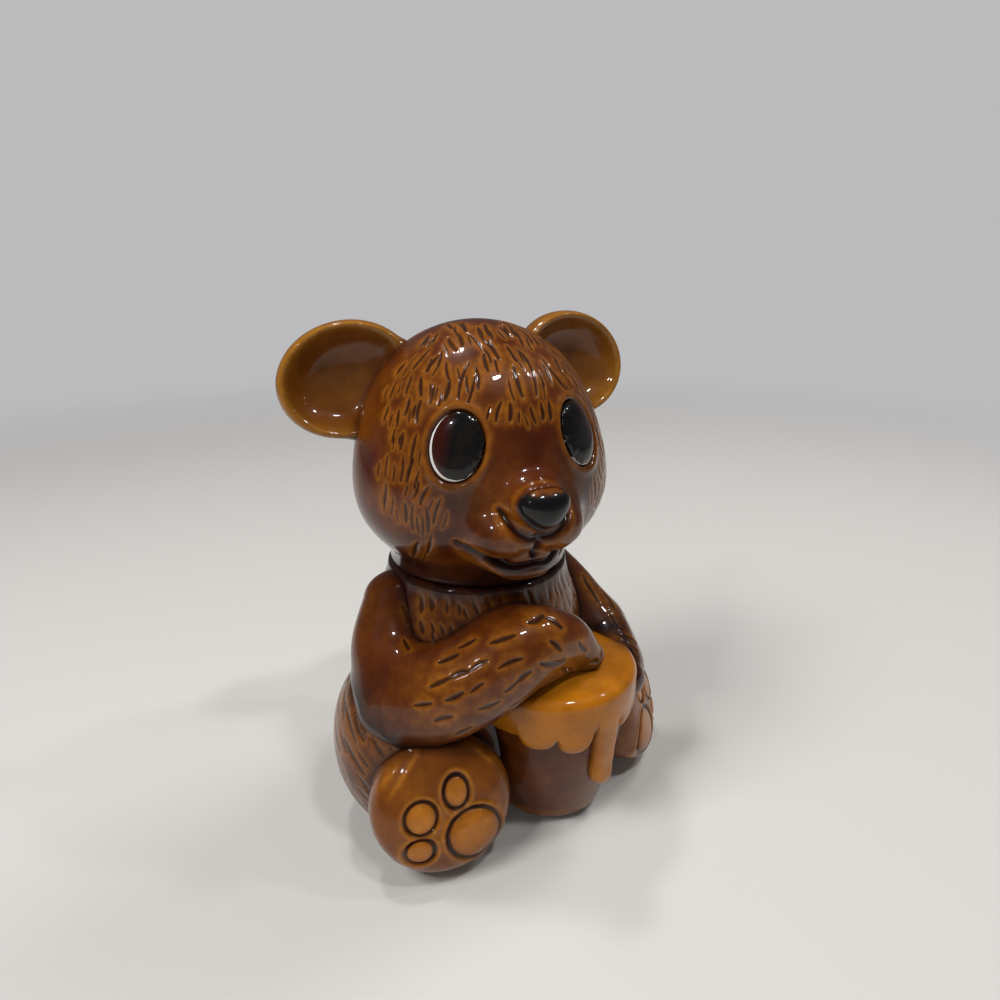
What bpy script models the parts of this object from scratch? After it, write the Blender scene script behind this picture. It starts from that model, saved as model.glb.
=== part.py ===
"""A honey jar in the form of a sitting bear cub, cast in clay and glazed brown.

The torso is a hollow jar with a flat rim at the neck. The head is its lid, a hollow shell
with a flange that drops into the bore of the neck. Arms, feet, ears, the honey pot and its
honey are lumps that sit against the hollow castings. The bear faces -Y, its left side is +X
and it sits on the table at z = 0. The jar's pieces are measured from the middle of the neck,
on the table, and the lid's pieces from the middle of the seam between torso and head.
"""
import math

import bmesh
import bpy
import numpy as np
from mathutils import Vector

# Clay, fit and table
WALL = 0.0040               # thickness of the cast clay
FIT_GAP = 0.0003            # room between two pieces that touch
GLAZE_RELIEF = 0.0010       # height of glazed undersides over the table
SEAM_HEIGHT = 0.0700        # table to the rim that the lid rests on; the jar's heights are shares of it
EDGE_ROUND = 0.0006         # broken edge of a rim
LID_TURN = math.radians(-11)   # the lid stands turned a little to the bear's right

# Torso: belly, chest and neck
BELLY_WIDTH = 0.0730
BELLY_DEPTH = 0.0640
BELLY_TALL_SHARE = 1.143
BELLY_LEVEL_SHARE = 0.386   # height of the widest place
BELLY_BACK = 0.0035         # middle of the belly behind the jar's axis
CHEST_WIDTH = 0.0570
CHEST_DEPTH = 0.0540
CHEST_TALL_SHARE = 0.514
CHEST_LEVEL_SHARE = 0.743
NECK_WIDTH = 0.0500
BODY_BLEND = 0.0090         # softness where belly, chest and neck run together
BELLY_TALL = SEAM_HEIGHT * BELLY_TALL_SHARE
BELLY_LEVEL = SEAM_HEIGHT * BELLY_LEVEL_SHARE
CHEST_TALL = SEAM_HEIGHT * CHEST_TALL_SHARE
CHEST_LEVEL = SEAM_HEIGHT * CHEST_LEVEL_SHARE
UNDERSIDE_ROUND = 0.0030

# Haunches
HAUNCH_WIDTH = 0.0340
HAUNCH_LENGTH = 0.0390
HAUNCH_TALL_SHARE = 0.743
HAUNCH_TALL = SEAM_HEIGHT * HAUNCH_TALL_SHARE
HAUNCH_SPREAD = 0.0315      # middle of a haunch from the middle plane
HAUNCH_FORWARD = 0.0070     # middle of a haunch in front of the jar's axis
HAUNCH_BLEND = 0.0040       # softness where a haunch meets the belly

# Foot ring: the bare clay that the jar stands on
FOOT_RING_WIDTH = 0.0440
FOOT_RING_LAND = 0.0045     # width of the bare face

# Mouth of the jar and flange of the lid
BORE_WIDTH = 0.0380
BORE_DEPTH = 0.0080
FLANGE_CLEARANCE = 0.0008   # flange to bore, all round
FLANGE_DEPTH = 0.0070       # how far the flange drops below the seam
FLANGE_WALL = 0.0034
FLANGE_ROOT = 0.0035        # how far the flange reaches up into the head
FLANGE_SHOULDER = 0.0012    # step by which the flange is wider than its root

# Honey pot in front of the belly
POT_BASE_WIDTH = 0.0290
POT_MOUTH_WIDTH = 0.0450
POT_HEIGHT_SHARE = 0.600
POT_HEIGHT = SEAM_HEIGHT * POT_HEIGHT_SHARE
POT_ASIDE = 0.0085          # middle of the pot towards the bear's left
POT_FORWARD = 0.0240        # middle of the pot in front of the jar's axis
POT_EDGE = 0.0020
POT_MIDDLE = (POT_ASIDE, -POT_FORWARD)
# Share of the wall's height, and share of the swell from the base to the mouth
POT_WALL_SHARES = ((0.00, 0.00), (0.25, 0.38), (0.55, 0.70), (0.80, 0.90), (1.00, 1.00))

# Honey on the pot: a crowned cap with a rolled lip, and runs that hang down the wall
HONEY_OVERHANG = 0.0014     # lip of the honey beyond the pot's mouth
HONEY_CROWN = 0.0046        # rise of the middle over the lip
HONEY_THICK = 0.0062        # height of the lip itself
HEM_DROP = 0.0030           # hem of the honey below its lip, between the runs
RUN_DEPTH = 0.0018          # how far a run stands off the pot
PLUMB_SHARE = 0.60          # share of the pot's taper that a run hangs clear of
# Runs: azimuth round the pot, half width as an angle, and reach below the lip
RUNS = (
    (math.radians(-74), math.radians(12), 0.0055),
    (math.radians(-51), math.radians(13), 0.0090),
    (math.radians(-28), math.radians(10), 0.0100),
    (math.radians(0), math.radians(9), 0.0235),
    (math.radians(24), math.radians(8), 0.0100),
    (math.radians(56), math.radians(15), 0.0080),
)
# Share of the drop and of the depth of a run, from inside the pot's wall round to the lip
HEM_SHARES = ((0.3, -0.5), (0.9, -0.5), (1.0, 0.1), (0.95, 0.7), (0.75, 1.0), (0.4, 0.9), (0.0, 0.8))
# Shares of the overhang and of the lip's height, from the underside over the lip to its top
LIP_SHARES = ((-0.35, -0.30), (0.00, 0.00), (-0.50, 0.25), (-2.00, 0.50))
# Shares of the lip's radius and of the crown's rise
CROWN_SHARES = ((0.80, 0.36), (0.50, 0.75))

# Arms: rings along a path
ARM_RADIUS = 0.0125         # at the elbow of the right arm
SHOULDER_ROOM = 0.0095      # middle of a shoulder below the seam
# Places along an arm: across, forward and up as shares of half the chest's width, of half its
# depth and of the shoulder's height, then the radius as a share of the elbow's
RIGHT_UPPER_ARM_SHARES = (
    (-0.90, -0.11, 1.00, 0.68), (-1.09, 0.13, 0.83, 0.82), (-1.08, 0.48, 0.68, 0.99),
)
RIGHT_FOREARM_SHARES = (
    (-1.07, 0.52, 0.67, 0.93), (-0.96, 0.80, 0.73, 0.98), (-0.71, 1.00, 0.81, 0.96),
    (-0.28, 1.17, 0.93, 0.90), (0.12, 1.28, 0.94, 0.58), (0.42, 1.37, 0.83, 0.26),
)
LEFT_UPPER_ARM_SHARES = (
    (0.84, -0.04, 1.00, 0.66), (1.01, 0.22, 0.86, 0.72), (1.13, 0.50, 0.71, 0.75),
)
LEFT_FOREARM_SHARES = (
    (1.15, 0.54, 0.67, 0.71), (1.13, 0.80, 0.64, 0.70), (1.06, 1.06, 0.62, 0.60),
    (0.94, 1.28, 0.61, 0.48),
)
ARMS = {
    "right": (RIGHT_UPPER_ARM_SHARES, RIGHT_FOREARM_SHARES),
    "left": (LEFT_UPPER_ARM_SHARES, LEFT_FOREARM_SHARES),
}

# Hind feet with four pads on each sole
SOLE_WIDTH = 0.0370
SOLE_HEIGHT_SHARE = 0.500
SOLE_HEIGHT = SEAM_HEIGHT * SOLE_HEIGHT_SHARE
FOOT_LENGTH = 0.0290
FOOT_SPREAD = 0.0310        # middle of a sole from the middle plane
FOOT_FORWARD = 0.0290       # middle of the right foot in front of the jar's axis
LEFT_FOOT_BACK = 0.0065     # the left foot is set this much further back
LEFT_FOOT_OUT = 0.0075      # and this much further out
LEFT_SOLE_TURN = math.radians(38)   # and its sole is turned further outwards
SOLE_TURN = math.radians(14)
SOLE_TILT = math.radians(20)
SOLE_ROUND = 0.0060
SOLE_PLACE_SHARE = 0.25     # sole in front of the foot's middle, as a share of its length
PAD_THICK = 0.0018
PAD_PROUD = 0.0005          # crown of a pad over the sole
PAD_GROOVE = 0.0008         # incised line round a pad
# Pads of the right sole: across and up from the sole's middle, half width, half height, as
# shares of half the sole's width; the left sole has them mirrored
PAD_SHARES = {
    "heel_pad": (0.34, -0.42, 0.38, 0.34),
    "toe_pad_1": (0.14, 0.20, 0.16, 0.21),
    "toe_pad_2": (-0.38, -0.04, 0.21, 0.21),
    "toe_pad_3": (-0.44, -0.48, 0.18, 0.15),
}
# Half width and half height of a pad's shoulder, and its rise, as shares
PAD_CROWN_SHARES = (0.70, 0.60)

# Head: skull and cheeks
HEAD_HEIGHT = 0.0655        # seam to the crown; the head's heights are shares of it
SKULL_WIDTH = 0.0630
SKULL_DEPTH = 0.0620
SKULL_TALL_SHARE = 0.931
SKULL_TALL = HEAD_HEIGHT * SKULL_TALL_SHARE
SKULL_FORWARD = 0.0010      # middle of the skull in front of the lid's axis
SKULL_LEVEL = HEAD_HEIGHT - SKULL_TALL / 2
CHEEK_WIDTH = 0.0672
CHEEK_DEPTH = 0.0540
CHEEK_TALL_SHARE = 0.672
CHEEK_LEVEL_SHARE = 0.336
CHEEK_TALL = HEAD_HEIGHT * CHEEK_TALL_SHARE
CHEEK_LEVEL = HEAD_HEIGHT * CHEEK_LEVEL_SHARE
CHEEK_FORWARD = 0.0050
HEAD_FOOT_WIDTH = 0.0480    # width of the head's flat foot on the rim
HEAD_BLEND = 0.0120

# Muzzle with its two lips, the end of the nose's bridge, and the chin
MUZZLE_WIDTH = 0.0310
MUZZLE_LENGTH = 0.0300
MUZZLE_TALL_SHARE = 0.382
MUZZLE_LEVEL_SHARE = 0.313
MUZZLE_TALL = HEAD_HEIGHT * MUZZLE_TALL_SHARE
MUZZLE_LEVEL = HEAD_HEIGHT * MUZZLE_LEVEL_SHARE
MUZZLE_REACH = 0.0420       # tip of the muzzle in front of the axis
FACE_BLEND = 0.0050         # softness where the muzzle meets the face
LIP_BLEND = 0.0014          # softness between the bulbs of the muzzle
# Bulbs: place across, forward and up from the muzzle's middle, then their half sizes, all as
# shares of the muzzle's half width, half length and half height
CORE_SHARES = ((0.00, -0.12, 0.10), (0.86, 0.82, 0.92))
RIGHT_LIP_SHARES = ((-0.37, 0.36, -0.11), (0.57, 0.50, 0.50))
LEFT_LIP_SHARES = ((0.37, 0.36, -0.11), (0.57, 0.50, 0.50))
BRIDGE_SHARES = ((0.00, 0.62, 0.50), (0.46, 0.46, 0.48))
CHIN_SHARES = ((0.00, 0.04, -0.80), (0.62, 0.60, 0.46))
MUZZLE_BULBS = (CORE_SHARES, RIGHT_LIP_SHARES, LEFT_LIP_SHARES, BRIDGE_SHARES, CHIN_SHARES)

# Lines carved into the muzzle, as ways out of the middle of the head
SMILE_LINE = 0.0019         # half width of the cutter for the smile
FACE_LINE = 0.0013          # half width of the cutters for the other lines
LINE_DEPTH_SHARE = 0.90     # depth of a groove, as a share of the cutter's half width
LINE_FLOOR_SHARE = 0.35     # width of a groove's floor, as a share of the cutter's
LINE_STAND = 0.0018         # how far a cutter stands out of the skin
LINE_END = 0.35             # how far a line tapers at its ends
MOUTH_SWEEP = math.radians(30)      # corner of the mouth from the middle plane
MOUTH_DIP = math.radians(-30.5)      # lowest place of the smile
MOUTH_RISE = math.radians(4.5)       # corners of the smile over its lowest place
# Shares of the mouth's sweep and of its rise
SMILE_SHARES = (
    (-1.00, 1.00), (-0.72, 0.33), (-0.36, 0.00), (0.00, 0.35), (0.36, 0.00), (0.72, 0.33), (1.00, 1.00),
)
NOSE_LINE_SWEEP = math.radians(13.0)
NOSE_LINE_DIP = math.radians(-18.5)
NOSE_LINE_RISE = math.radians(6.5)
NOSE_LINE_SHARES = ((-1.00, 1.00), (-0.60, 0.36), (0.00, 0.00), (0.60, 0.36), (1.00, 1.00))

# Eyes and nose
EYE_WIDTH = 0.0125
EYE_HEIGHT_SHARE = 0.247
EYE_LEVEL_SHARE = 0.608
EYE_HEIGHT = HEAD_HEIGHT * EYE_HEIGHT_SHARE
EYE_LEVEL = HEAD_HEIGHT * EYE_LEVEL_SHARE
EYE_AZIMUTH = math.radians(30.5)
EYE_LEAN = math.radians(9)      # tops of the eyes lean towards each other
EYE_SOCKET = 0.0030         # depth of the flat floor of a socket
EYE_SUNK = 0.0010           # white of the eye below the face
EYE_DOME = 0.0021           # black of the eye over its white
PUPIL_WIDTH_SHARE = 0.928    # of the eye's width
PUPIL_WIDTH = EYE_WIDTH * PUPIL_WIDTH_SHARE
PUPIL_HEIGHT_SHARE = 0.938   # of the eye's height
PUPIL_HEIGHT = EYE_HEIGHT * PUPIL_HEIGHT_SHARE
PUPIL_SHIFT_SHARES = (0.80, 0.60)   # towards the nose and up, of the room beside the black
# Shares of the half sizes and of the dome's rise
DOME_SHARES = ((1.00, 0.00), (1.00, 0.20), (0.90, 0.55), (0.65, 0.81), (0.30, 0.96))
NOSE_WIDTH = 0.0116
NOSE_HEIGHT_SHARE = 0.147
NOSE_HEIGHT = HEAD_HEIGHT * NOSE_HEIGHT_SHARE
NOSE_DEPTH = 0.0075
NOSE_LEVEL_SHARE = 0.409
NOSE_LEVEL = HEAD_HEIGHT * NOSE_LEVEL_SHARE
NOSE_SEAT_SHARE = 0.22      # middle of the nose behind the face, as a share of its depth
NOSE_TAPER_SHARE = 0.22     # how much wider the nose is above than in the middle

# Ears: cupped discs
EAR_WIDTH = 0.0360
EAR_HEIGHT_SHARE = 0.455
EAR_HEIGHT = HEAD_HEIGHT * EAR_HEIGHT_SHARE
EAR_THICK = 0.0100
EAR_SPREAD = 0.0325         # middle of an ear from the middle plane
EAR_LEVEL_SHARE = 0.7725
EAR_LEVEL = HEAD_HEIGHT * EAR_LEVEL_SHARE
EAR_BACK = 0.0080           # middle of an ear behind the lid's axis
EAR_TURN = math.radians(8)
EAR_NOD = math.radians(7)
EAR_ROLL = math.radians(14)
# Places on the ear's profile from the middle of the cup to the middle of the back, as
# shares of the ear's half sizes and of its thickness
EAR_PROFILE_SHARES = (
    (0.30, -0.26), (0.58, -0.16), (0.76, 0.08), (0.86, 0.30), (0.93, 0.35), (0.98, 0.24),
    (1.00, 0.02), (0.97, -0.24), (0.84, -0.48), (0.55, -0.62),
)
EAR_CUP_SHARE = -0.28
EAR_SPINE_SHARE = -0.65

# Counts of rings and of points round them
TORSO_POINTS = 36
TORSO_ROWS = 20
CAVITY_ROWS = 7
HEAD_POINTS = 44
HEAD_ROWS = 30
LOW_ROWS_SHARE = 0.50       # share of the head's rows that lie below the eyes
LOW_RISE_SHARE = 0.40       # share of the head's sweep that lies below the eyes
ARM_POINTS = 14
ARM_STEPS = 10
FOOT_POINTS = 18
FOOT_ROWS = 13
POT_POINTS = 32
HONEY_POINTS = 44
EAR_POINTS = 20
NOSE_POINTS = 16
NOSE_ROWS = 7
OVAL_POINTS = 16
LINE_STEPS = 13
LINE_SMOOTHING = 2          # rounds in which a carved line's bends are eased
RING_POINTS = 28
ROUND_END = (math.radians(30), math.radians(62))    # rings of a tube's rounded end

# Solver values
SEARCH_REACH = SEAM_HEIGHT + HEAD_HEIGHT    # longer than any ray from a piece's middle
SEARCH_ROUNDS = 34
PROBE = 0.0001              # step for reading the slope of a surface
FACE_CROWDING = 0.5         # share by which the columns crowd towards the face
CREASE_ANGLE = math.radians(38)

# Glazes and clay: colour, roughness
FINISHES = {
    "brown_glaze": ((0.150, 0.040, 0.008), 0.12),
    "head_glaze": ((0.165, 0.044, 0.009), 0.12),
    "paw_glaze": ((0.185, 0.055, 0.010), 0.12),
    "ear_glaze": ((0.200, 0.085, 0.014), 0.14),
    "honey_glaze": ((0.330, 0.115, 0.008), 0.08),
    "pad_glaze": ((0.360, 0.130, 0.020), 0.15),
    "black_glaze": ((0.006, 0.006, 0.006), 0.05),
    "white_glaze": ((0.780, 0.770, 0.740), 0.15),
    "bare_clay": ((0.700, 0.620, 0.500), 0.80),
}


def glaze(name, finish):
    """A piece's own Principled material with the colour and roughness of its finish."""
    colour, roughness = FINISHES[finish]
    material = bpy.data.materials.new(name)
    material.use_nodes = True
    shader = material.node_tree.nodes["Principled BSDF"]
    shader.inputs["Base Color"].default_value = (*colour, 1.0)
    shader.inputs["Roughness"].default_value = roughness
    shader.inputs["Metallic"].default_value = 0.0
    return material


def ellipsoid(points, middle, radii):
    """Distance from points to an ellipsoid, below zero inside it, good near its surface."""
    away = points - np.asarray(middle)
    radii = np.asarray(radii)
    level = np.linalg.norm(away / radii, axis=-1)
    slope = np.linalg.norm(away / radii**2, axis=-1)
    return level * (level - 1) / np.maximum(slope, 1 / SEARCH_REACH)


def soft_union(a, b, softness):
    """The nearer of two surfaces, with the crease between them filled over softness."""
    fill = np.maximum(softness - np.abs(a - b), 0)
    return np.minimum(a, b) - fill**2 / (4 * softness)


def soft_limit(a, b, softness):
    """What lies inside both a and b, with the edge between them rounded over softness."""
    return -soft_union(-a, -b, softness)


def cast(field, middle, ways):
    """Points where rays from a middle leave the solid, found by halving the search."""
    near = np.zeros(ways.shape[:-1])
    far = np.full(ways.shape[:-1], SEARCH_REACH)
    for _ in range(SEARCH_ROUNDS):
        half = (near + far) / 2
        inside = field(middle + half[..., None] * ways) < 0
        near = np.where(inside, half, near)
        far = np.where(inside, far, half)
    return middle + near[..., None] * ways


def outward(field, point):
    """Unit normal of a field's surface at a point, from the field's slope there."""
    steps = PROBE * np.eye(3)
    slope = field(point + steps) - field(point - steps)
    return slope / np.linalg.norm(slope)


def around(count, crowding=0):
    """Azimuths of the columns of a ring, 0 at the front, crowded there by a share."""
    turn = np.arange(count) / count * math.tau
    return turn - crowding * np.sin(turn)


def sphere_ways(elevations, azimuths):
    """Unit ways out of a middle, one row for each elevation, azimuth 0 towards -Y."""
    rise = np.asarray(elevations)[:, None]
    turn = np.asarray(azimuths)[None, :]
    across = np.cos(rise) * np.sin(turn)
    along = -np.cos(rise) * np.cos(turn)
    up = np.sin(rise) + 0 * turn
    return np.stack([across, along, up], -1)


def circle_row(radius, height, azimuths, middle=(0, 0)):
    """One level ring of points."""
    across = middle[0] + radius * np.sin(azimuths)
    along = middle[1] - radius * np.cos(azimuths)
    return np.stack([across, along, np.full(len(azimuths), height)], -1)


def build(name, rings, finish, parent, start=None, end=None):
    """An object from rings of points, closed by a point at each end or by wrapping round."""
    rows, count = rings.shape[:2]
    points = list(rings.reshape(-1, 3))
    here = np.arange(count)
    after = (here + 1) % count
    faces = []
    spans = rows - 1 if start is not None else rows
    for row in range(spans):
        low = row * count
        high = (row + 1) % rows * count
        faces += np.stack([low + here, low + after, high + after], -1).tolist()
        faces += np.stack([low + here, high + after, high + here], -1).tolist()
    if start is not None:
        points += [np.asarray(start), np.asarray(end)]
        first = rows * count
        last = (rows - 1) * count
        faces += [[first, b, a] for a, b in zip(here.tolist(), after.tolist())]
        faces += [[first + 1, last + a, last + b] for a, b in zip(here.tolist(), after.tolist())]
    mesh = bpy.data.meshes.new(name)
    mesh.from_pydata([tuple(map(float, p)) for p in points], [], faces)
    tidy = bmesh.new()
    tidy.from_mesh(mesh)
    bmesh.ops.recalc_face_normals(tidy, faces=tidy.faces)
    tidy.to_mesh(mesh)
    tidy.free()
    mesh.materials.append(glaze(name, finish))
    mesh.shade_smooth()
    mesh.set_sharp_from_angle(angle=CREASE_ANGLE)
    piece = bpy.data.objects.new(name, mesh)
    bpy.context.collection.objects.link(piece)
    piece.parent = parent
    return piece


def guide(name, rings, parent, start, end):
    """A cutter: hidden from renders and faceted, so that the cuts keep crisp edges."""
    cutter = build(name, rings, "bare_clay", parent, start, end)
    cutter.data.shade_flat()
    cutter.hide_render = True
    cutter.display_type = "WIRE"
    return cutter


def combine(piece, operation, tools, crossing=False):
    """Add tools to a piece (UNION) or take them out (DIFFERENCE); crossing where skins cross."""
    for tool in tools:
        modifier = piece.modifiers.new(tool.name, "BOOLEAN")
        modifier.operation = operation
        modifier.solver = "EXACT"
        modifier.use_self = crossing
        modifier.object = tool


def cut(piece, *cutters):
    """Take each cutter out of a piece."""
    combine(piece, "DIFFERENCE", cutters)


def curve_through(knots, count):
    """A smooth path through knots (Catmull-Rom), with any number of values at each knot."""
    knots = np.asarray(knots, float)
    padded = np.vstack([2 * knots[0] - knots[1], knots, 2 * knots[-1] - knots[-2]])
    place = np.linspace(0, len(knots) - 1, count)
    index = np.minimum(place.astype(int), len(knots) - 2)
    t = (place - index)[:, None]
    a, b, c, d = (padded[index + k] for k in range(4))
    return b + t / 2 * (c - a + t * (2 * a - 5 * b + 4 * c - d + t * (3 * (b - c) + d - a)))


def tube(path, radii, count):
    """Round rings square to a path with rounded ends, and the points that close the ends."""
    ways = np.gradient(path, axis=0)
    ways /= np.linalg.norm(ways, axis=1)[:, None]
    side = np.eye(3)[np.argmin(np.abs(ways).max(0))]
    bends = np.array(ROUND_END)[:, None]
    start = path[0] - radii[0] * np.sin(bends[::-1]) * ways[0]
    end = path[-1] + radii[-1] * np.sin(bends) * ways[-1]
    closing = [path[0] - radii[0] * ways[0], path[-1] + radii[-1] * ways[-1]]
    ends = len(bends)
    ways = np.concatenate([np.repeat(ways[:1], ends, 0), ways, np.repeat(ways[-1:], ends, 0)])
    narrow = np.cos(bends[:, 0])
    radii = np.concatenate([radii[0] * narrow[::-1], radii, radii[-1] * narrow])
    path = np.concatenate([start, path, end])
    across = np.cross(ways, side)
    across /= np.linalg.norm(across, axis=1)[:, None]
    upward = np.cross(across, ways)
    turn = around(count)[None, :, None]
    ring = np.cos(turn) * across[:, None, :] + np.sin(turn) * upward[:, None, :]
    return path[:, None, :] + radii[:, None, None] * ring, closing


def frame_of(normal, roll=0):
    """Across, up and out ways of a small piece that faces along a normal."""
    normal = np.asarray(normal) / np.linalg.norm(normal)
    across = np.cross(normal, (0, 0, -1))
    across /= np.linalg.norm(across)
    up = np.cross(across, -normal)
    turned = math.cos(roll) * across + math.sin(roll) * up
    return turned, np.cross(turned, -normal), normal


def oval_rows(middle, frame, profile, count):
    """Oval rings: each profile entry is half width, half height and place along the normal."""
    across, up, out = frame
    turn = around(count)[:, None]
    rows = []
    for half_width, half_height, place in profile:
        ring = half_width * np.cos(turn) * across + half_height * np.sin(turn) * up
        rows.append(middle + ring + place * out)
    return np.array(rows)


# Torso and foot ring

def haunch(side):
    """Middle and radii of a haunch; side is -1 for the right leg and 1 for the left."""
    middle = (side * HAUNCH_SPREAD, -HAUNCH_FORWARD, HAUNCH_TALL / 2 - GLAZE_RELIEF)
    return middle, (HAUNCH_WIDTH / 2, HAUNCH_LENGTH / 2, HAUNCH_TALL / 2)


def torso_field(points):
    """Belly, chest, neck and haunches run together, over a flat underside."""
    belly_radii = (BELLY_WIDTH / 2, BELLY_DEPTH / 2, BELLY_TALL / 2)
    chest_radii = (CHEST_WIDTH / 2, CHEST_DEPTH / 2, CHEST_TALL / 2)
    body = ellipsoid(points, (0, BELLY_BACK, BELLY_LEVEL), belly_radii)
    body = soft_union(body, ellipsoid(points, (0, 0, CHEST_LEVEL), chest_radii), BODY_BLEND)
    neck = np.hypot(points[..., 0], points[..., 1]) - NECK_WIDTH / 2
    neck = np.maximum(neck, BELLY_LEVEL - points[..., 2])
    body = soft_union(body, neck, BODY_BLEND)
    for side in (-1, 1):
        body = soft_union(body, ellipsoid(points, *haunch(side)), HAUNCH_BLEND)
    return soft_limit(body, GLAZE_RELIEF - points[..., 2], UNDERSIDE_ROUND)


def torso_outside(grow=0):
    """Rings of the torso's skin from the underside up to the neck."""
    middle = np.array([0, 0, BELLY_LEVEL])
    top = math.atan2(SEAM_HEIGHT - EDGE_ROUND - BELLY_LEVEL, NECK_WIDTH / 2)
    rises = np.linspace(-math.pi / 2, top, TORSO_ROWS + 1)[1:]
    azimuths = around(TORSO_POINTS)
    rings = cast(lambda p: torso_field(p) - grow, middle, sphere_ways(rises, azimuths))
    rings[-1] = circle_row(NECK_WIDTH / 2 + grow, SEAM_HEIGHT - EDGE_ROUND, azimuths)
    return rings


def make_torso(jar):
    """The hollow torso: skin, flat rim, bore and cavity in one closed cup."""
    azimuths = around(TORSO_POINTS)
    outside = torso_outside()
    bore = BORE_WIDTH / 2
    shoulder = SEAM_HEIGHT - BORE_DEPTH
    rim = [
        circle_row(NECK_WIDTH / 2 - EDGE_ROUND, SEAM_HEIGHT, azimuths),
        circle_row(bore + EDGE_ROUND, SEAM_HEIGHT, azimuths),
        circle_row(bore, SEAM_HEIGHT - EDGE_ROUND, azimuths),
        circle_row(bore, shoulder, azimuths),
    ]
    middle = np.array([0, 0, BELLY_LEVEL])
    top = math.atan2(shoulder - BELLY_LEVEL, bore)
    rises = np.linspace(top, -math.pi / 2, CAVITY_ROWS + 1)[1:-1]
    cavity = cast(lambda p: torso_field(p) + WALL, middle, sphere_ways(rises, azimuths))
    rings = np.concatenate([outside, np.array(rim), cavity])
    floor = GLAZE_RELIEF + WALL
    return build("torso_shell", rings, "brown_glaze", jar, (0, 0, GLAZE_RELIEF), (0, 0, floor))


def torso_guide(jar):
    """The torso as a solid block, grown by the fit gap, for cutting its neighbours."""
    top = SEAM_HEIGHT + WALL
    cap = circle_row(NECK_WIDTH / 2 + FIT_GAP, top, around(TORSO_POINTS))
    rings = np.concatenate([torso_outside(FIT_GAP), cap[None]])
    return guide("torso_guide", rings, jar, (0, 0, GLAZE_RELIEF - FIT_GAP), (0, 0, top))


def make_foot_ring(jar):
    """A flat band of bare clay under the belly."""
    azimuths = around(RING_POINTS)
    outer = FOOT_RING_WIDTH / 2
    inner = outer - FOOT_RING_LAND
    top = GLAZE_RELIEF - FIT_GAP
    corners = [(outer, 0), (outer, top), (inner, top), (inner, 0)]
    middle = (0, BELLY_BACK)
    rings = np.array([circle_row(radius, height, azimuths, middle) for radius, height in corners])
    return build("foot_ring", rings, "bare_clay", jar)


# Honey pot and honey

def pot_radius(height):
    """Radius of the pot's wall, which swells from the base to the mouth."""
    shares = np.array(POT_WALL_SHARES)
    swell = np.interp((height - GLAZE_RELIEF) / (POT_HEIGHT - GLAZE_RELIEF), *shares.T)
    return (POT_BASE_WIDTH + swell * (POT_MOUTH_WIDTH - POT_BASE_WIDTH)) / 2


def pot_rows(grow=0):
    """Rings of the pot from the edge of its base to the edge of its mouth."""
    azimuths = around(POT_POINTS)
    bottom = GLAZE_RELIEF - grow
    top = POT_HEIGHT + POT_EDGE / 2 + grow
    rows = [circle_row(POT_BASE_WIDTH / 2 - POT_EDGE + grow, bottom, azimuths, POT_MIDDLE)]
    for share, _ in POT_WALL_SHARES:
        height = GLAZE_RELIEF + POT_EDGE + share * (POT_HEIGHT - GLAZE_RELIEF - POT_EDGE)
        rows.append(circle_row(pot_radius(height) + grow, height, azimuths, POT_MIDDLE))
    rows.append(circle_row(POT_MOUTH_WIDTH / 2 - POT_EDGE, top, azimuths, POT_MIDDLE))
    return np.array(rows), [(*POT_MIDDLE, bottom), (*POT_MIDDLE, top)]


def hem_drop(azimuths):
    """How far the hem hangs below the lip: a flat-ended bump for each run, the longest wins."""
    turned = (azimuths + math.pi) % math.tau - math.pi
    drops = [np.full(len(azimuths), HEM_DROP)]
    for azimuth, half, reach in RUNS:
        drops.append(reach * np.exp(-((turned - azimuth) / half) ** 6))
    return np.max(drops, axis=0)


def honey_rows(grow=0):
    """Rings of the honey: inner hem, hem, wall down which it runs, rolled lip and crown."""
    azimuths = around(HONEY_POINTS, FACE_CROWDING)
    lip = POT_MOUTH_WIDTH / 2 + HONEY_OVERHANG + grow
    under = POT_HEIGHT - HONEY_THICK / 2
    top = POT_HEIGHT + HONEY_THICK / 2 + grow
    drop = hem_drop(azimuths)
    rows = []
    for share, stand in HEM_SHARES:
        height = under - share * (drop + grow)
        hanging = max(stand, 0) * PLUMB_SHARE * (pot_radius(under) - pot_radius(height))
        radius = pot_radius(height) + stand * RUN_DEPTH + hanging + grow
        across = POT_MIDDLE[0] + radius * np.sin(azimuths)
        along = POT_MIDDLE[1] - radius * np.cos(azimuths)
        rows.append(np.stack([across, along, height], -1))
    for aside, rise in LIP_SHARES:
        height = POT_HEIGHT + rise * (HONEY_THICK + grow)
        rows.append(circle_row(lip + aside * HONEY_OVERHANG, height, azimuths, POT_MIDDLE))
    for aside, rise in CROWN_SHARES:
        rows.append(circle_row(lip * aside, top + rise * HONEY_CROWN, azimuths, POT_MIDDLE))
    return np.array(rows), [(*POT_MIDDLE, under), (*POT_MIDDLE, top + HONEY_CROWN)]


# Arms

def arm_rows(shares, grow=0):
    """Round rings along one length of an arm, grown by the gap, and its closing points."""
    places = np.array(shares) * (CHEST_WIDTH / 2, -CHEST_DEPTH / 2, SEAM_HEIGHT - SHOULDER_ROOM, ARM_RADIUS)
    values = curve_through(places, ARM_STEPS)
    return tube(values[:, :3], values[:, 3] + grow, ARM_POINTS)


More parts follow.
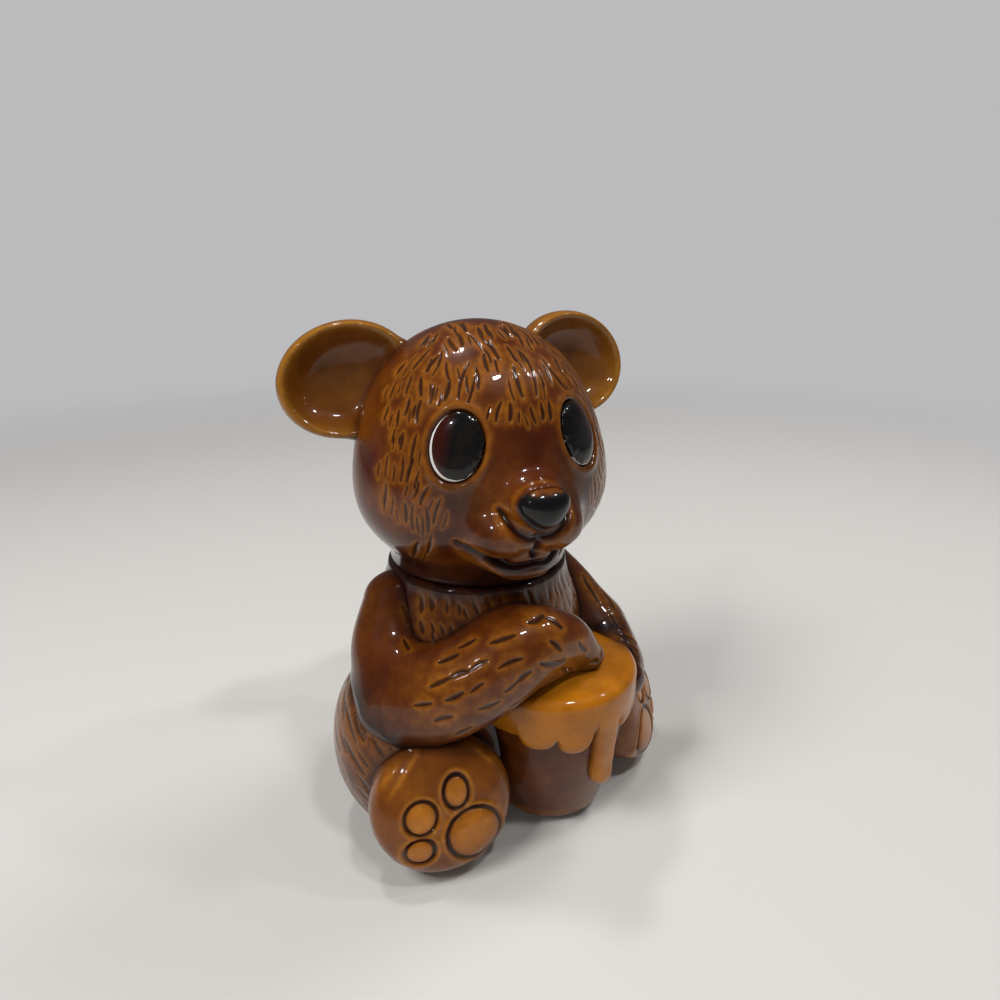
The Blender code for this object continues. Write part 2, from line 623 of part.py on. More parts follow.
def make_arm(name, lengths, jar):
    """The upper arm with the forearm added to it, and the guides that cut its neighbours."""
    guides = []
    for index, shares in enumerate(lengths):
        rings, ends = arm_rows(shares, FIT_GAP)
        guides.append(guide(f"{name}_arm_guide_{index}", rings, jar, *ends))
    rings, ends = arm_rows(lengths[0])
    arm = build(f"{name}_arm", rings, "brown_glaze", jar, *ends)
    rings, ends = arm_rows(lengths[1])
    forearm = guide(f"{name}_forearm_guide", rings, jar, *ends)
    forearm.data.shade_smooth()
    combine(arm, "UNION", [forearm], crossing=True)
    return arm, guides


# Feet and pads

def foot_frame(side):
    """Middle of a foot and the across, up and out ways of its sole."""
    turn = LEFT_SOLE_TURN if side > 0 else -SOLE_TURN
    normal = sphere_ways([SOLE_TILT], [turn])[0, 0]
    left = (side + 1) / 2
    across = side * FOOT_SPREAD + left * LEFT_FOOT_OUT
    along = left * LEFT_FOOT_BACK - FOOT_FORWARD
    middle = np.array([across, along, SOLE_HEIGHT / 2 + GLAZE_RELIEF])
    return middle, frame_of(normal)


def foot_field(points, side):
    """An egg-shaped foot with a nearly flat sole and a flat underside over the table."""
    middle, (across, up, out) = foot_frame(side)
    away = points - middle
    local = np.stack([away @ across, away @ up, away @ out], -1)
    egg = ellipsoid(local, (0, 0, 0), (SOLE_WIDTH / 2, SOLE_HEIGHT / 2, FOOT_LENGTH / 2))
    sole = local[..., 2] - FOOT_LENGTH * SOLE_PLACE_SHARE
    foot = soft_limit(egg, sole, SOLE_ROUND)
    return np.maximum(foot, GLAZE_RELIEF - points[..., 2])


def foot_rows(side, grow=0):
    """Rings of a foot from its heel in the haunch to the middle of its sole."""
    middle, (across, up, out) = foot_frame(side)
    rises = np.linspace(-math.pi / 2, math.pi / 2, FOOT_ROWS + 2)[1:-1]
    turn = around(FOOT_POINTS)[None, :, None]
    lean = rises[:, None, None]
    ways = np.cos(lean) * (np.cos(turn) * across + np.sin(turn) * up) + np.sin(lean) * out
    field = lambda p: foot_field(p, side) - grow
    return cast(field, middle, ways), cast(field, middle, np.array([-out, out]))


def make_pad(name, side, shares, foot, jar):
    """Recess with an incised line round it, and the pad that sits in the recess."""
    middle, frame = foot_frame(side)
    across, up, out = frame
    unit = SOLE_WIDTH / 2
    aside, rise, half_width, half_height = (share * unit for share in shares)
    point = cast(lambda p: foot_field(p, side), middle - side * aside * across + rise * up, out)
    floor = -PAD_THICK
    wide = half_width + PAD_GROOVE
    tall = half_height + PAD_GROOVE
    rings = oval_rows(point, frame, [(wide, tall, floor), (wide, tall, PAD_THICK)], OVAL_POINTS)
    cut(foot, guide(f"{name}_guide", rings, jar, point + floor * out, point + PAD_THICK * out))
    back = floor + FIT_GAP
    narrow, low = PAD_CROWN_SHARES
    profile = [
        (half_width, half_height, back),
        (half_width, half_height, -PAD_PROUD),
        (half_width * narrow, half_height * narrow, PAD_PROUD * low),
    ]
    rings = oval_rows(point, frame, profile, OVAL_POINTS)
    build(name, rings, "pad_glaze", jar, point + back * out, point + PAD_PROUD * out)


# Head and face

def head_field(points):
    """Skull and cheeks run together, with the muzzle, the two lips and the chin on them."""
    skull_radii = (SKULL_WIDTH / 2, SKULL_DEPTH / 2, SKULL_TALL / 2)
    cheek_radii = (CHEEK_WIDTH / 2, CHEEK_DEPTH / 2, CHEEK_TALL / 2)
    head = ellipsoid(points, (0, -SKULL_FORWARD, SKULL_LEVEL), skull_radii)
    cheeks = ellipsoid(points, (0, -CHEEK_FORWARD, CHEEK_LEVEL), cheek_radii)
    head = soft_union(head, cheeks, HEAD_BLEND)
    middle = np.array([0, MUZZLE_LENGTH / 2 - MUZZLE_REACH, MUZZLE_LEVEL])
    radii = np.array([MUZZLE_WIDTH / 2, MUZZLE_LENGTH / 2, MUZZLE_TALL / 2])
    muzzle = SEARCH_REACH
    for place, size in MUZZLE_BULBS:
        bulb = ellipsoid(points, middle + np.array(place) * radii * (1, -1, 1), np.array(size) * radii)
        muzzle = soft_union(muzzle, bulb, LIP_BLEND)
    head = soft_union(head, muzzle, FACE_BLEND)
    foot = np.hypot(points[..., 0], points[..., 1]) - HEAD_FOOT_WIDTH / 2
    foot = np.maximum(foot, points[..., 2] - CHEEK_LEVEL)
    head = soft_union(head, foot, FACE_BLEND)
    return np.maximum(head, FIT_GAP - points[..., 2])


def head_outside(grow=0):
    """Rings of the head's skin from its foot on the rim up to the crown."""
    middle = np.array([0, 0, HEAD_HEIGHT / 2])
    low = -math.atan2(HEAD_HEIGHT / 2 - FIT_GAP - EDGE_ROUND, HEAD_FOOT_WIDTH / 2)
    places = np.interp(np.arange(HEAD_ROWS) / HEAD_ROWS, (0, LOW_ROWS_SHARE, 1), (0, LOW_RISE_SHARE, 1))
    rises = low + places * (math.pi / 2 - low)
    azimuths = around(HEAD_POINTS, FACE_CROWDING)
    rings = cast(lambda p: head_field(p) - grow, middle, sphere_ways(rises, azimuths))
    crown = cast(lambda p: head_field(p) - grow, middle, np.array([0, 0, 1.0]))
    return rings, crown


def make_head(lid):
    """The hollow head: cavity, flat foot and skin in one closed cup, open downwards."""
    azimuths = around(HEAD_POINTS, FACE_CROWDING)
    outside, crown = head_outside()
    opening = BORE_WIDTH / 2 - FLANGE_CLEARANCE - FLANGE_SHOULDER + FIT_GAP
    foot = [
        circle_row(opening, FIT_GAP + WALL, azimuths),
        circle_row(opening, FIT_GAP, azimuths),
        circle_row(HEAD_FOOT_WIDTH / 2 - EDGE_ROUND, FIT_GAP, azimuths),
    ]
    middle = np.array([0, 0, HEAD_HEIGHT / 2])
    low = -math.atan2(HEAD_HEIGHT / 2 - 2 * WALL, opening + WALL)
    rises = np.linspace(math.pi / 2, low, CAVITY_ROWS + 1)[1:]
    plain = lambda p: head_field(p) + WALL
    cavity = cast(plain, middle, sphere_ways(rises, azimuths))
    top = cast(plain, middle, np.array([0, 0, 1.0]))
    rings = np.concatenate([cavity, np.array(foot), outside])
    return build("head_shell", rings, "head_glaze", lid, top, crown)


def make_flange(lid):
    """The bare clay ring under the head: a root in the head's opening and a wider skirt."""
    azimuths = around(RING_POINTS)
    outer = BORE_WIDTH / 2 - FLANGE_CLEARANCE
    root = outer - FLANGE_SHOULDER
    inner = outer - FLANGE_WALL
    corners = [
        (outer - EDGE_ROUND, -FLANGE_DEPTH),
        (outer, EDGE_ROUND - FLANGE_DEPTH),
        (outer, 0),
        (root, 0),
        (root, FLANGE_ROOT),
        (inner, FLANGE_ROOT),
        (inner, -FLANGE_DEPTH),
    ]
    rings = np.array([circle_row(radius, height, azimuths) for radius, height in corners])
    return build("lid_flange", rings, "bare_clay", lid)


def carved_line(name, ways, half_width, lid):
    """A cutter with a tapered section that follows ways out of the middle of the head."""
    middle = np.array([0, 0, HEAD_HEIGHT / 2])
    turns, rises = curve_through(ways, LINE_STEPS).T
    out = np.stack([np.cos(rises) * np.sin(turns), -np.cos(rises) * np.cos(turns), np.sin(rises)], -1)
    reach = np.linalg.norm(cast(head_field, middle, out) - middle, axis=-1)
    for _ in range(LINE_SMOOTHING):
        reach[1:-1] = (reach[:-2] + 2 * reach[1:-1] + reach[2:]) / 4
    aside = np.cross(out, np.gradient(out, axis=0))
    aside /= np.linalg.norm(aside, axis=-1)[:, None]
    half = (half_width * np.sin(np.linspace(LINE_END, math.pi - LINE_END, LINE_STEPS)))[:, None]
    floor = middle + (reach[:, None] - half * LINE_DEPTH_SHARE) * out
    mouth = middle + (reach[:, None] + LINE_STAND) * out
    corners = [
        floor - half * LINE_FLOOR_SHARE * aside,
        floor + half * LINE_FLOOR_SHARE * aside,
        mouth + half * aside,
        mouth - half * aside,
    ]
    rings = np.stack(corners, 1)
    return guide(name, rings, lid, rings[0].mean(0), rings[-1].mean(0))


def mouth_lines(lid):
    """Cutters for the smile, the line under the nose and the cleft between them."""
    smile = [(a * MOUTH_SWEEP, MOUTH_DIP + b * MOUTH_RISE) for a, b in SMILE_SHARES]
    under = [(a * NOSE_LINE_SWEEP, NOSE_LINE_DIP + b * NOSE_LINE_RISE) for a, b in NOSE_LINE_SHARES]
    cleft = [under[len(under) // 2], smile[len(smile) // 2]]
    return [
        carved_line("smile_guide", smile, SMILE_LINE, lid),
        carved_line("nose_line_guide", under, FACE_LINE, lid),
        carved_line("cleft_guide", cleft, FACE_LINE, lid),
    ]


def make_eye(side, name, head, lid):
    """Socket in the face, the flat white in it, and the domed black on the white."""
    way = np.array([side * math.sin(EYE_AZIMUTH), -math.cos(EYE_AZIMUTH), 0])
    point = cast(head_field, np.array([0, 0, EYE_LEVEL]), way)
    frame = frame_of(outward(head_field, point), side * EYE_LEAN)
    across, up, out = frame
    wide, tall = EYE_WIDTH / 2, EYE_HEIGHT / 2
    floor = -EYE_SOCKET
    well = [(wide + FIT_GAP, tall + FIT_GAP, floor), (wide + FIT_GAP, tall + FIT_GAP, EYE_SOCKET)]
    rings = oval_rows(point, frame, well, OVAL_POINTS)
    socket = guide(f"{name}_socket_guide", rings, lid, point + floor * out, point + EYE_SOCKET * out)
    cut(head, socket)
    back = floor + FIT_GAP
    front = -EYE_SUNK
    disc = [
        (wide, tall, back),
        (wide, tall, front - EDGE_ROUND),
        (wide - EDGE_ROUND, tall - EDGE_ROUND, front),
    ]
    rings = oval_rows(point, frame, disc, OVAL_POINTS)
    build(f"{name}_white", rings, "white_glaze", lid, point + back * out, point + front * out)
    inward = -side * np.sign(across[0])
    shift = (wide - PUPIL_WIDTH / 2) * PUPIL_SHIFT_SHARES[0]
    lift = (tall - PUPIL_HEIGHT / 2) * PUPIL_SHIFT_SHARES[1]
    middle = point + inward * shift * across + lift * up
    base = front + FIT_GAP
    dome = [(PUPIL_WIDTH / 2 * a, PUPIL_HEIGHT / 2 * a, base + EYE_DOME * b) for a, b in DOME_SHARES]
    rings = oval_rows(middle, frame, dome, OVAL_POINTS)
    build(name, rings, "black_glaze", lid, middle + base * out, middle + (base + EYE_DOME) * out)


def nose_rows():
    """Rings of the nose: an egg, wider above than below, let into the tip of the muzzle."""
    seat = cast(head_field, np.array([0, 0, NOSE_LEVEL]), np.array([0, -1.0, 0]))
    middle = seat + np.array([0, NOSE_DEPTH * NOSE_SEAT_SHARE, 0])
    rises = np.linspace(-math.pi / 2, math.pi / 2, NOSE_ROWS + 2)[1:-1]
    turn = around(NOSE_POINTS)[None, :]
    lean = rises[:, None]
    lift = np.cos(lean) * np.sin(turn)
    across = NOSE_WIDTH / 2 * np.cos(lean) * np.cos(turn) * (1 + NOSE_TAPER_SHARE * lift)
    along = -NOSE_DEPTH / 2 * np.sin(lean) + 0 * turn
    rings = middle + np.stack([across, along, NOSE_HEIGHT / 2 * lift], -1)
    return rings, middle + np.array([[0, NOSE_DEPTH / 2, 0], [0, -NOSE_DEPTH / 2, 0]])


def ear_rows(side):
    """Rings of a cupped ear that faces forwards and leans out from the head."""
    normal = (side * math.sin(EAR_TURN), -math.cos(EAR_TURN), math.tan(EAR_NOD))
    frame = frame_of(normal, -side * EAR_ROLL)
    middle = np.array([side * EAR_SPREAD, EAR_BACK, EAR_LEVEL])
    profile = [(a * EAR_WIDTH / 2, a * EAR_HEIGHT / 2, b * EAR_THICK) for a, b in EAR_PROFILE_SHARES]
    rings = oval_rows(middle, frame, profile, EAR_POINTS)
    ends = [middle + share * EAR_THICK * frame[2] for share in (EAR_CUP_SHARE, EAR_SPINE_SHARE)]
    return rings, ends


def make_jar(jar):
    """Everything below the seam."""
    torso = torso_guide(jar)
    make_torso(jar)
    make_foot_ring(jar)

    feet = []
    for side, name in ((-1, "right"), (1, "left")):
        rings, ends = foot_rows(side, FIT_GAP)
        feet.append(guide(f"{name}_foot_guide", rings, jar, *ends))

    rings, ends = pot_rows()
    pot = build("honey_pot", rings, "brown_glaze", jar, *ends)
    cut(pot, torso, *feet)
    rings, ends = pot_rows(FIT_GAP)
    pot_block = guide("pot_guide", rings, jar, *ends)

    rings, ends = honey_rows()
    honey = build("honey", rings, "honey_glaze", jar, *ends)
    cut(honey, pot_block, torso, *feet)
    rings, ends = honey_rows(FIT_GAP)
    honey_block = guide("honey_guide", rings, jar, *ends)

    grown_arms = {}
    for name, lengths in ARMS.items():
        arm, grown_arms[name] = make_arm(name, lengths, jar)
        combine(arm, "DIFFERENCE", (torso, pot_block, honey_block), crossing=True)

    for side, name in ((-1, "right"), (1, "left")):
        rings, ends = foot_rows(side)
        foot = build(f"{name}_foot", rings, "paw_glaze", jar, *ends)
        cut(foot, torso, *grown_arms[name])
        for pad_name, shares in PAD_SHARES.items():
            make_pad(f"{name}_{pad_name}", side, shares, foot, jar)


def make_lid(lid):
    """Everything above the seam."""
    head = make_head(lid)
    make_flange(lid)
    cut(head, *mouth_lines(lid))
    for side, name in ((-1, "right_eye"), (1, "left_eye")):
        make_eye(side, name, head, lid)
    rings, crown = head_outside(FIT_GAP)
    foot = circle_row(HEAD_FOOT_WIDTH / 2, 0, around(HEAD_POINTS, FACE_CROWDING))
    head_block = guide("head_guide", np.concatenate([foot[None], rings]), lid, (0, 0, 0), crown)
    rings, ends = nose_rows()
    nose = build("nose", rings, "black_glaze", lid, *ends)
    cut(nose, head_block)
    for side, name in ((-1, "right_ear"), (1, "left_ear")):
        rings, ends = ear_rows(side)
        ear = build(name, rings, "ear_glaze", lid, *ends)
        cut(ear, head_block)


def empty(name, location, parent=None):
    """A plain frame that pieces are measured from."""
    frame = bpy.data.objects.new(name, None)
    frame.location = location
    frame.parent = parent
    bpy.context.collection.objects.link(frame)
    return frame


def middle_of_box(jar):
    """Middle of the box round every piece, on the table: the origin of the whole jar."""
    bpy.context.view_layer.update()
    seen = bpy.context.evaluated_depsgraph_get()
    corners = []
    for piece in bpy.data.objects:
        if piece.type == "MESH" and not piece.hide_render:
            mesh = piece.evaluated_get(seen).data
            corners += [piece.matrix_world @ vertex.co for vertex in mesh.vertices]
    corners = np.array(corners)
    middle = (corners.min(0) + corners.max(0)) / 2
    return Vector((middle[0], middle[1], 0)) - jar.location


for old in list(bpy.data.objects):
    bpy.data.objects.remove(old, do_unlink=True)

jar_frame = empty("jar_frame", Vector((0, 0, 0)))
lid_frame = empty("lid_frame", Vector((0, 0, SEAM_HEIGHT)), jar_frame)
lid_frame.rotation_euler = (0, 0, LID_TURN)
make_jar(jar_frame)
make_lid(lid_frame)
jar_frame.location = -middle_of_box(jar_frame)
bpy.context.view_layer.update()
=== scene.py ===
import math

import bpy
import numpy as np
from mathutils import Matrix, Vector


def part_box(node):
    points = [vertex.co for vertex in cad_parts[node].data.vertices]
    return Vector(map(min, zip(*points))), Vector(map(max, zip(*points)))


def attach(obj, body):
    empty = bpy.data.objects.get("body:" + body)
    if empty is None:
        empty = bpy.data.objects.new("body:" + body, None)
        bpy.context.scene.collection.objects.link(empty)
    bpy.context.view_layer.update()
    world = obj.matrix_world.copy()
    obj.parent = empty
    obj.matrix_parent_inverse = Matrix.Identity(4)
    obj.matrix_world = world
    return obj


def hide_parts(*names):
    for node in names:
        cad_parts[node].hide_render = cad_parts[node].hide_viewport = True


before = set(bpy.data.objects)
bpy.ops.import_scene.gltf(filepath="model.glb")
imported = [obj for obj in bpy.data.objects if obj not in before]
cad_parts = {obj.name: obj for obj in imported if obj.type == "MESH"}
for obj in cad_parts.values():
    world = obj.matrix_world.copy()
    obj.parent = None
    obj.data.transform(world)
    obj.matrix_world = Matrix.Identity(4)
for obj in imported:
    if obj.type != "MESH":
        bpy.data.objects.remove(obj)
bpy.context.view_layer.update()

# Torso. A hollow jar of pale clay, cast in a mould and open at the neck. The fur is carved
# into the damp clay as short strokes. The brown glaze pools dark in them and breaks to
# amber on the edges. It is fired in one piece with arms, feet and pot.
flange_low, flange_high = (np.array(corner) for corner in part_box("lid_flange"))
JAR_AXIS = (flange_low + flange_high) / 2 * (1, 1, 0)
SEAM = 0.0700
BELLY = ((0, 0.0035, 0.0270), (0.0365, 0.0320, 0.0400))
CHEST = ((0, 0, 0.0520), (0.0285, 0.0270, 0.0180))
HAUNCH_PLACE, HAUNCH_RADII = (0.0315, -0.0070, 0.0250), (0.0170, 0.0195, 0.0260)
BODY_SOFTNESS, HAUNCH_SOFTNESS = 0.0090, 0.0040
NECK_RADIUS, RIM_ROUND = 0.0250, 0.0010
UNDERSIDE, UNDERSIDE_ROUND = 0.0010, 0.0030
BORE_RADIUS, BORE_DEPTH = 0.0190, 0.0080
CLAY_WALL = 0.0040
TORSO_COLUMNS, TORSO_ROWS, TORSO_CAVITY_ROWS = 360, 245, 24
FUR_HALF_WIDTH, FUR_DEPTH, FUR_BEND = 0.00044, 0.00020, 0.06
TORSO_FUR_WIDTH = 1.45 * FUR_HALF_WIDTH
# In half widths: how wide and how far off the ridge beside a stroke is, and its thin glaze
STROKE_RIDGE, STROKE_TINT = (0.9, 2.1), 4.6
# Marks for strokes and lines fall to nothing at this many half widths
MARK_REACH = 6.0
# Painted shade on the chest's top under the head: how dark at the seam and how far down it reaches.
# Then how much darker the rim and cavity are made.
SEAM_SHADE, SEAM_SHADE_REACH, INSIDE_DARKENING = 0.97, 0.0070, 0.90
BROWN_DEEP, BROWN_BODY = (0.012, 0.0026, 0.0018), (0.072, 0.0120, 0.0020)
BROWN_AMBER = (0.265, 0.0860, 0.0058)
# Sizes of the glaze's own unevenness, as scales of noise
MOTTLE, CLOUD, SHADE, RIPPLE = 480, 75, 125, 230
GLAZE_COAT, GLAZE_IOR, BODY_SHINE = 0.8, 1.42, 0.10


def ellipsoid(points, middle, radii):
    """Distance to an ellipsoid: level times (level - 1) over the slope of the level."""
    away = points - np.asarray(middle)
    radii = np.asarray(radii)
    level = np.linalg.norm(away / radii, axis=-1)
    slope = np.linalg.norm(away / radii**2, axis=-1)
    return level * (level - 1) / np.maximum(slope, 1e-6)


def soft_union(a, b, softness):
    """The nearer surface, less (softness - gap) squared over four times the softness."""
    fill = np.maximum(softness - np.abs(a - b), 0)
    return np.minimum(a, b) - fill**2 / (4 * softness)


def bell(away, width, place=0.0):
    """One at a place, and less with distance from it: exp(-((away - place) / width)^2)."""
    return np.exp(-(((away - place) / width) ** 2))


def full_turn(count):
    """Even steps of angle once round."""
    return np.arange(count) / count * math.tau


def circle(radius, height, turn):
    """Points round the axis: radius sin(turn), -radius cos(turn), height. Turn 0 faces -Y."""
    return np.stack(np.broadcast_arrays(radius * np.sin(turn), -radius * np.cos(turn), height), -1)


def ways_out(turns, rises):
    """Unit ways at a turn round the axis and a rise over the level: circles of cos(rise)."""
    return circle(np.cos(rises), np.sin(rises), turns)


def skin(field, middle, ways, reach=0.12):
    """Points where rays from the middle leave the solid, by halving the stretch 28 times."""
    near = np.zeros(ways.shape[:-1])
    far = np.full(ways.shape[:-1], reach)
    for _ in range(28):
        half = (near + far) / 2
        inside = field(middle + half[..., None] * ways) < 0
        near, far = np.where(inside, half, near), np.where(inside, far, half)
    return middle + near[..., None] * ways


def grid_normals(rings, middle):
    """Cross product of the steps round and along the rings, turned away from the middle."""
    sideways = (np.roll(rings, -1, axis=1) - np.roll(rings, 1, axis=1)) / 2
    normals = np.cross(sideways, np.gradient(rings, axis=0))
    normals /= np.maximum(np.linalg.norm(normals, axis=-1), 1e-12)[..., None]
    return normals * np.sign(np.sum(normals * (rings - middle), -1).mean())


def carve(points, normals, strokes, half_width):
    """Hollow, ridge, tint and nearness of short bent strokes, from 0 to 1. Over the distance to
    a stroke as a share u of its half width, the hollow falls as exp(-u^4 / 2), ridge and tint
    are bells, and nearness is 1 - u / 6. The half width swells along the share s of a stroke's
    length as 0.30 + 0.70 sin(pi (0.06 + 0.76 s^0.85))."""
    flat, facing_ways = points.reshape(-1, 3), normals.reshape(-1, 3)
    hollow, ridge, tint, close = np.zeros((4, len(flat)))
    for number, (start, end, weight) in enumerate(strokes):
        run = end - start
        length = np.linalg.norm(run)
        reach = length / 2 + 9 * half_width
        near = np.nonzero(np.linalg.norm(flat - (start + end) / 2, axis=1) < reach)[0]
        away = flat[near] - start
        share = away @ run / length**2
        along = np.clip(share, 0, 1)
        sideways = np.sum(away * np.cross(facing_ways[near], run / length), 1)
        bend = FUR_BEND * length * math.sin(1.7 * number) * (1 - (2 * along - 1) ** 2)
        taper = 0.30 + 0.70 * np.sin(math.pi * (0.06 + 0.76 * along**0.85))
        u = np.hypot(sideways - bend, (share - along) * length) / (half_width * weight * taper)
        hollow[near] = np.maximum(hollow[near], min(weight, 1) * np.exp(-(u**4) / 2))
        ridge[near] = np.maximum(ridge[near], bell(u, *STROKE_RIDGE))
        tint[near] = np.maximum(tint[near], bell(u, STROKE_TINT))
        close[near] = np.maximum(close[near], 1 - u / MARK_REACH)
    marks = (hollow, ridge * (1 - hollow), tint, close)
    return [values.reshape(points.shape[:-1]) for values in marks]


def with_fine_strokes(strokes, middle, beside=0.0023, fine=0.60):
    """Each stroke with its weight, and a finer and shorter one laid beside it."""
    fur = []
    for number, (start, end) in enumerate(strokes):
        run = end - start
        aside = np.cross(run, start - middle)
        aside = aside * beside * (1 if number % 2 else -1) / np.linalg.norm(aside)
        weight = 0.95 + 0.18 * math.sin(2.4 * number)
        fur.append((start - 0.05 * run, end + 0.10 * run, weight))
        weight = fine + 0.10 * math.sin(1.3 * number)
        fur.append((start + aside + 0.38 * run, end + aside + 0.22 * run, weight))
    return fur


def mark_points(piece, mark, values):
    """Stores a mark at the points of the rings, and the mean of the end rings at the ends."""
    flat = np.append(values.reshape(-1), [values[0].mean(), values[-1].mean()])
    attribute = piece.data.attributes.new(mark, "FLOAT", "POINT")
    attribute.data.foreach_set("value", flat.astype(np.float32))


def fired_piece(name, rings, ends, marks, material, body, node):
    """A closed mesh: rings of points round the jar's axis, joined row to row, and a point at
    each end. Marks are values at the points, or one for a row or for all, that its glaze reads.
    It rides on a body and stands for a CAD node."""
    rows, count = rings.shape[:2]
    grid = np.arange(rows * count).reshape(rows, count)
    after = np.roll(grid, -1, axis=1)
    faces = np.stack([grid[:-1], after[:-1], after[1:], grid[1:]], -1).reshape(-1, 4).tolist()
    first, last = np.full(count, rows * count), np.full(count, rows * count + 1)
    faces += np.stack([first, after[0], grid[0]], -1).tolist()
    faces += np.stack([last, grid[-1], after[-1]], -1).tolist()
    points = np.concatenate([rings.reshape(-1, 3), ends]) + JAR_AXIS
    a, b, c = (points[[face[corner] for face in faces]] for corner in range(3))
    if np.sum(np.cross(a, b) * c) < 0:
        faces = [face[::-1] for face in faces]
    mesh = bpy.data.meshes.new(name)
    mesh.from_pydata(points.tolist(), [], faces)
    mesh.shade_smooth()
    mesh.materials.append(material)
    piece = bpy.data.objects.new(name, mesh)
    bpy.context.collection.objects.link(piece)
    for mark, values in marks.items():
        mark_points(piece, mark, np.broadcast_to(values, (rows, count)))
    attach(piece, body)
    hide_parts(node)
    return piece


def plug(tree, node, inputs):
    """Fills a node's sockets: an output is linked, a value or a colour is set on the socket."""
    for socket, value in inputs.items():
        if isinstance(value, bpy.types.NodeSocket):
            tree.links.new(value, node.inputs[socket])
        else:
            value = (*value, 1) if isinstance(value, tuple) else value
            node.inputs[socket].default_value = value


def add_node(tree, kind, inputs, **settings):
    """A new shader node with its settings and its sockets filled."""
    node = tree.nodes.new(f"ShaderNode{kind}")
    for setting, value in settings.items():
        setattr(node, setting, value)
    plug(tree, node, inputs)
    return node


def new_finish(name):
    """A material, its node tree, its shader and the place in Object coordinates."""
    material = bpy.data.materials.new(name)
    material.use_nodes = True
    tree = material.node_tree
    place = add_node(tree, "TexCoord", {}).outputs["Object"]
    return material, tree, tree.nodes["Principled BSDF"], place


def read_mark(tree, mark):
    """The values stored at the points under a mark's name."""
    return add_node(tree, "Attribute", {}, attribute_name=mark).outputs["Fac"]


def breaking_glaze(name, deep, body, amber, patch=0.5, gloss=0.04):
    """A clear glaze. Its body colour runs to amber where the glaze is thin or a 13 mm cloud has
    it so, broken by a 2 mm mottle, and to deep where it pools, where shade is painted into its
    pool mark, or where an 8 mm shade has it so. Near a stroke or a line, u half widths away,
    it pools as exp(-u^3 / 2) or exp(-u^3)."""
    material, tree, shader, place = new_finish(name)

    def noise(scale, low, high):
        cloud = add_node(tree, "TexNoise", {"Vector": place, "Scale": scale, "Detail": 3})
        spread = {"Value": cloud.outputs["Fac"], "From Min": low, "From Max": high}
        return add_node(tree, "MapRange", spread).outputs["Result"]

    def reckon(kind, a, b=0.0, clamp=True):
        return add_node(tree, "Math", {0: a, 1: b}, operation=kind, use_clamp=clamp).outputs[0]

    def tint(factor, a, b):
        return add_node(tree, "Mix", {0: factor, 6: a, 7: b}, data_type="RGBA").outputs[2]

    broken = reckon("ADD", reckon("MULTIPLY", noise(MOTTLE, 0.38, 0.68), 0.45), 0.55)
    thin_mark = read_mark(tree, "thin")
    thin = reckon("ADD", thin_mark, reckon("MULTIPLY", noise(CLOUD, 0.42, 0.70), patch))
    shade = reckon("MULTIPLY", noise(SHADE, 0.46, 0.74), 0.40)
    shade = reckon("MULTIPLY", shade, reckon("SUBTRACT", 1.0, thin_mark))
    cuts = []
    for mark, strength in (("fur", -0.5), ("line", -1.0)):
        widths = reckon("SUBTRACT", 1.0, read_mark(tree, mark))
        widths = reckon("MULTIPLY", widths, MARK_REACH, False)
        fall = reckon("MULTIPLY", reckon("POWER", widths, 3.0, False), strength, False)
        cuts.append(reckon("EXPONENT", fall))
    cut = reckon("MAXIMUM", reckon("MULTIPLY", cuts[0], 0.92), cuts[1])
    # Painted shade as well as pooled glaze comes in through the pool mark: under the head, on the
    # jaw, beside the muzzle, on the pot and on the honey's side.
    pool_and_shade = reckon("MAXIMUM", reckon("ADD", read_mark(tree, "pool_and_shade"), shade), cut)
    colour = tint(reckon("MULTIPLY", thin, broken), body, amber)
    ripple = reckon("MULTIPLY", noise(RIPPLE, 0.0, 1.0), 0.20)
    relief = reckon("SUBTRACT", ripple, reckon("MULTIPLY", cut, 0.25), False)
    bump = add_node(tree, "Bump", {"Strength": 1.0, "Distance": 0.0002, "Height": relief})
    plug(tree, shader, {
        "Base Color": tint(pool_and_shade, colour, deep), "Roughness": 0.35, "Specular IOR Level": BODY_SHINE,
        "Coat Weight": GLAZE_COAT, "Coat Roughness": gloss, "Coat IOR": GLAZE_IOR,
        "Normal": bump.outputs["Normal"], "Coat Normal": bump.outputs["Normal"],
    })
    return material


def torso_field(points):
    """Belly, chest and neck run together, then the haunches, over a flat underside."""
    body = soft_union(ellipsoid(points, *BELLY), ellipsoid(points, *CHEST), BODY_SOFTNESS)
    neck = np.hypot(points[..., 0], points[..., 1]) - NECK_RADIUS
    body = soft_union(body, np.maximum(neck, BELLY[0][2] - points[..., 2]), BODY_SOFTNESS)
    for side in (-1, 1):
        haunch = ellipsoid(points, np.array(HAUNCH_PLACE) * (side, 1, 1), HAUNCH_RADII)
        body = soft_union(body, haunch, HAUNCH_SOFTNESS)
    return -soft_union(-body, points[..., 2] - UNDERSIDE, UNDERSIDE_ROUND)


def on_torso(turn, height):
    """The place on the torso at a turn in degrees round its axis and a height in mm."""
    return skin(torso_field, np.array([0, 0, height / 1000]), ways_out(math.radians(turn), 0.0))


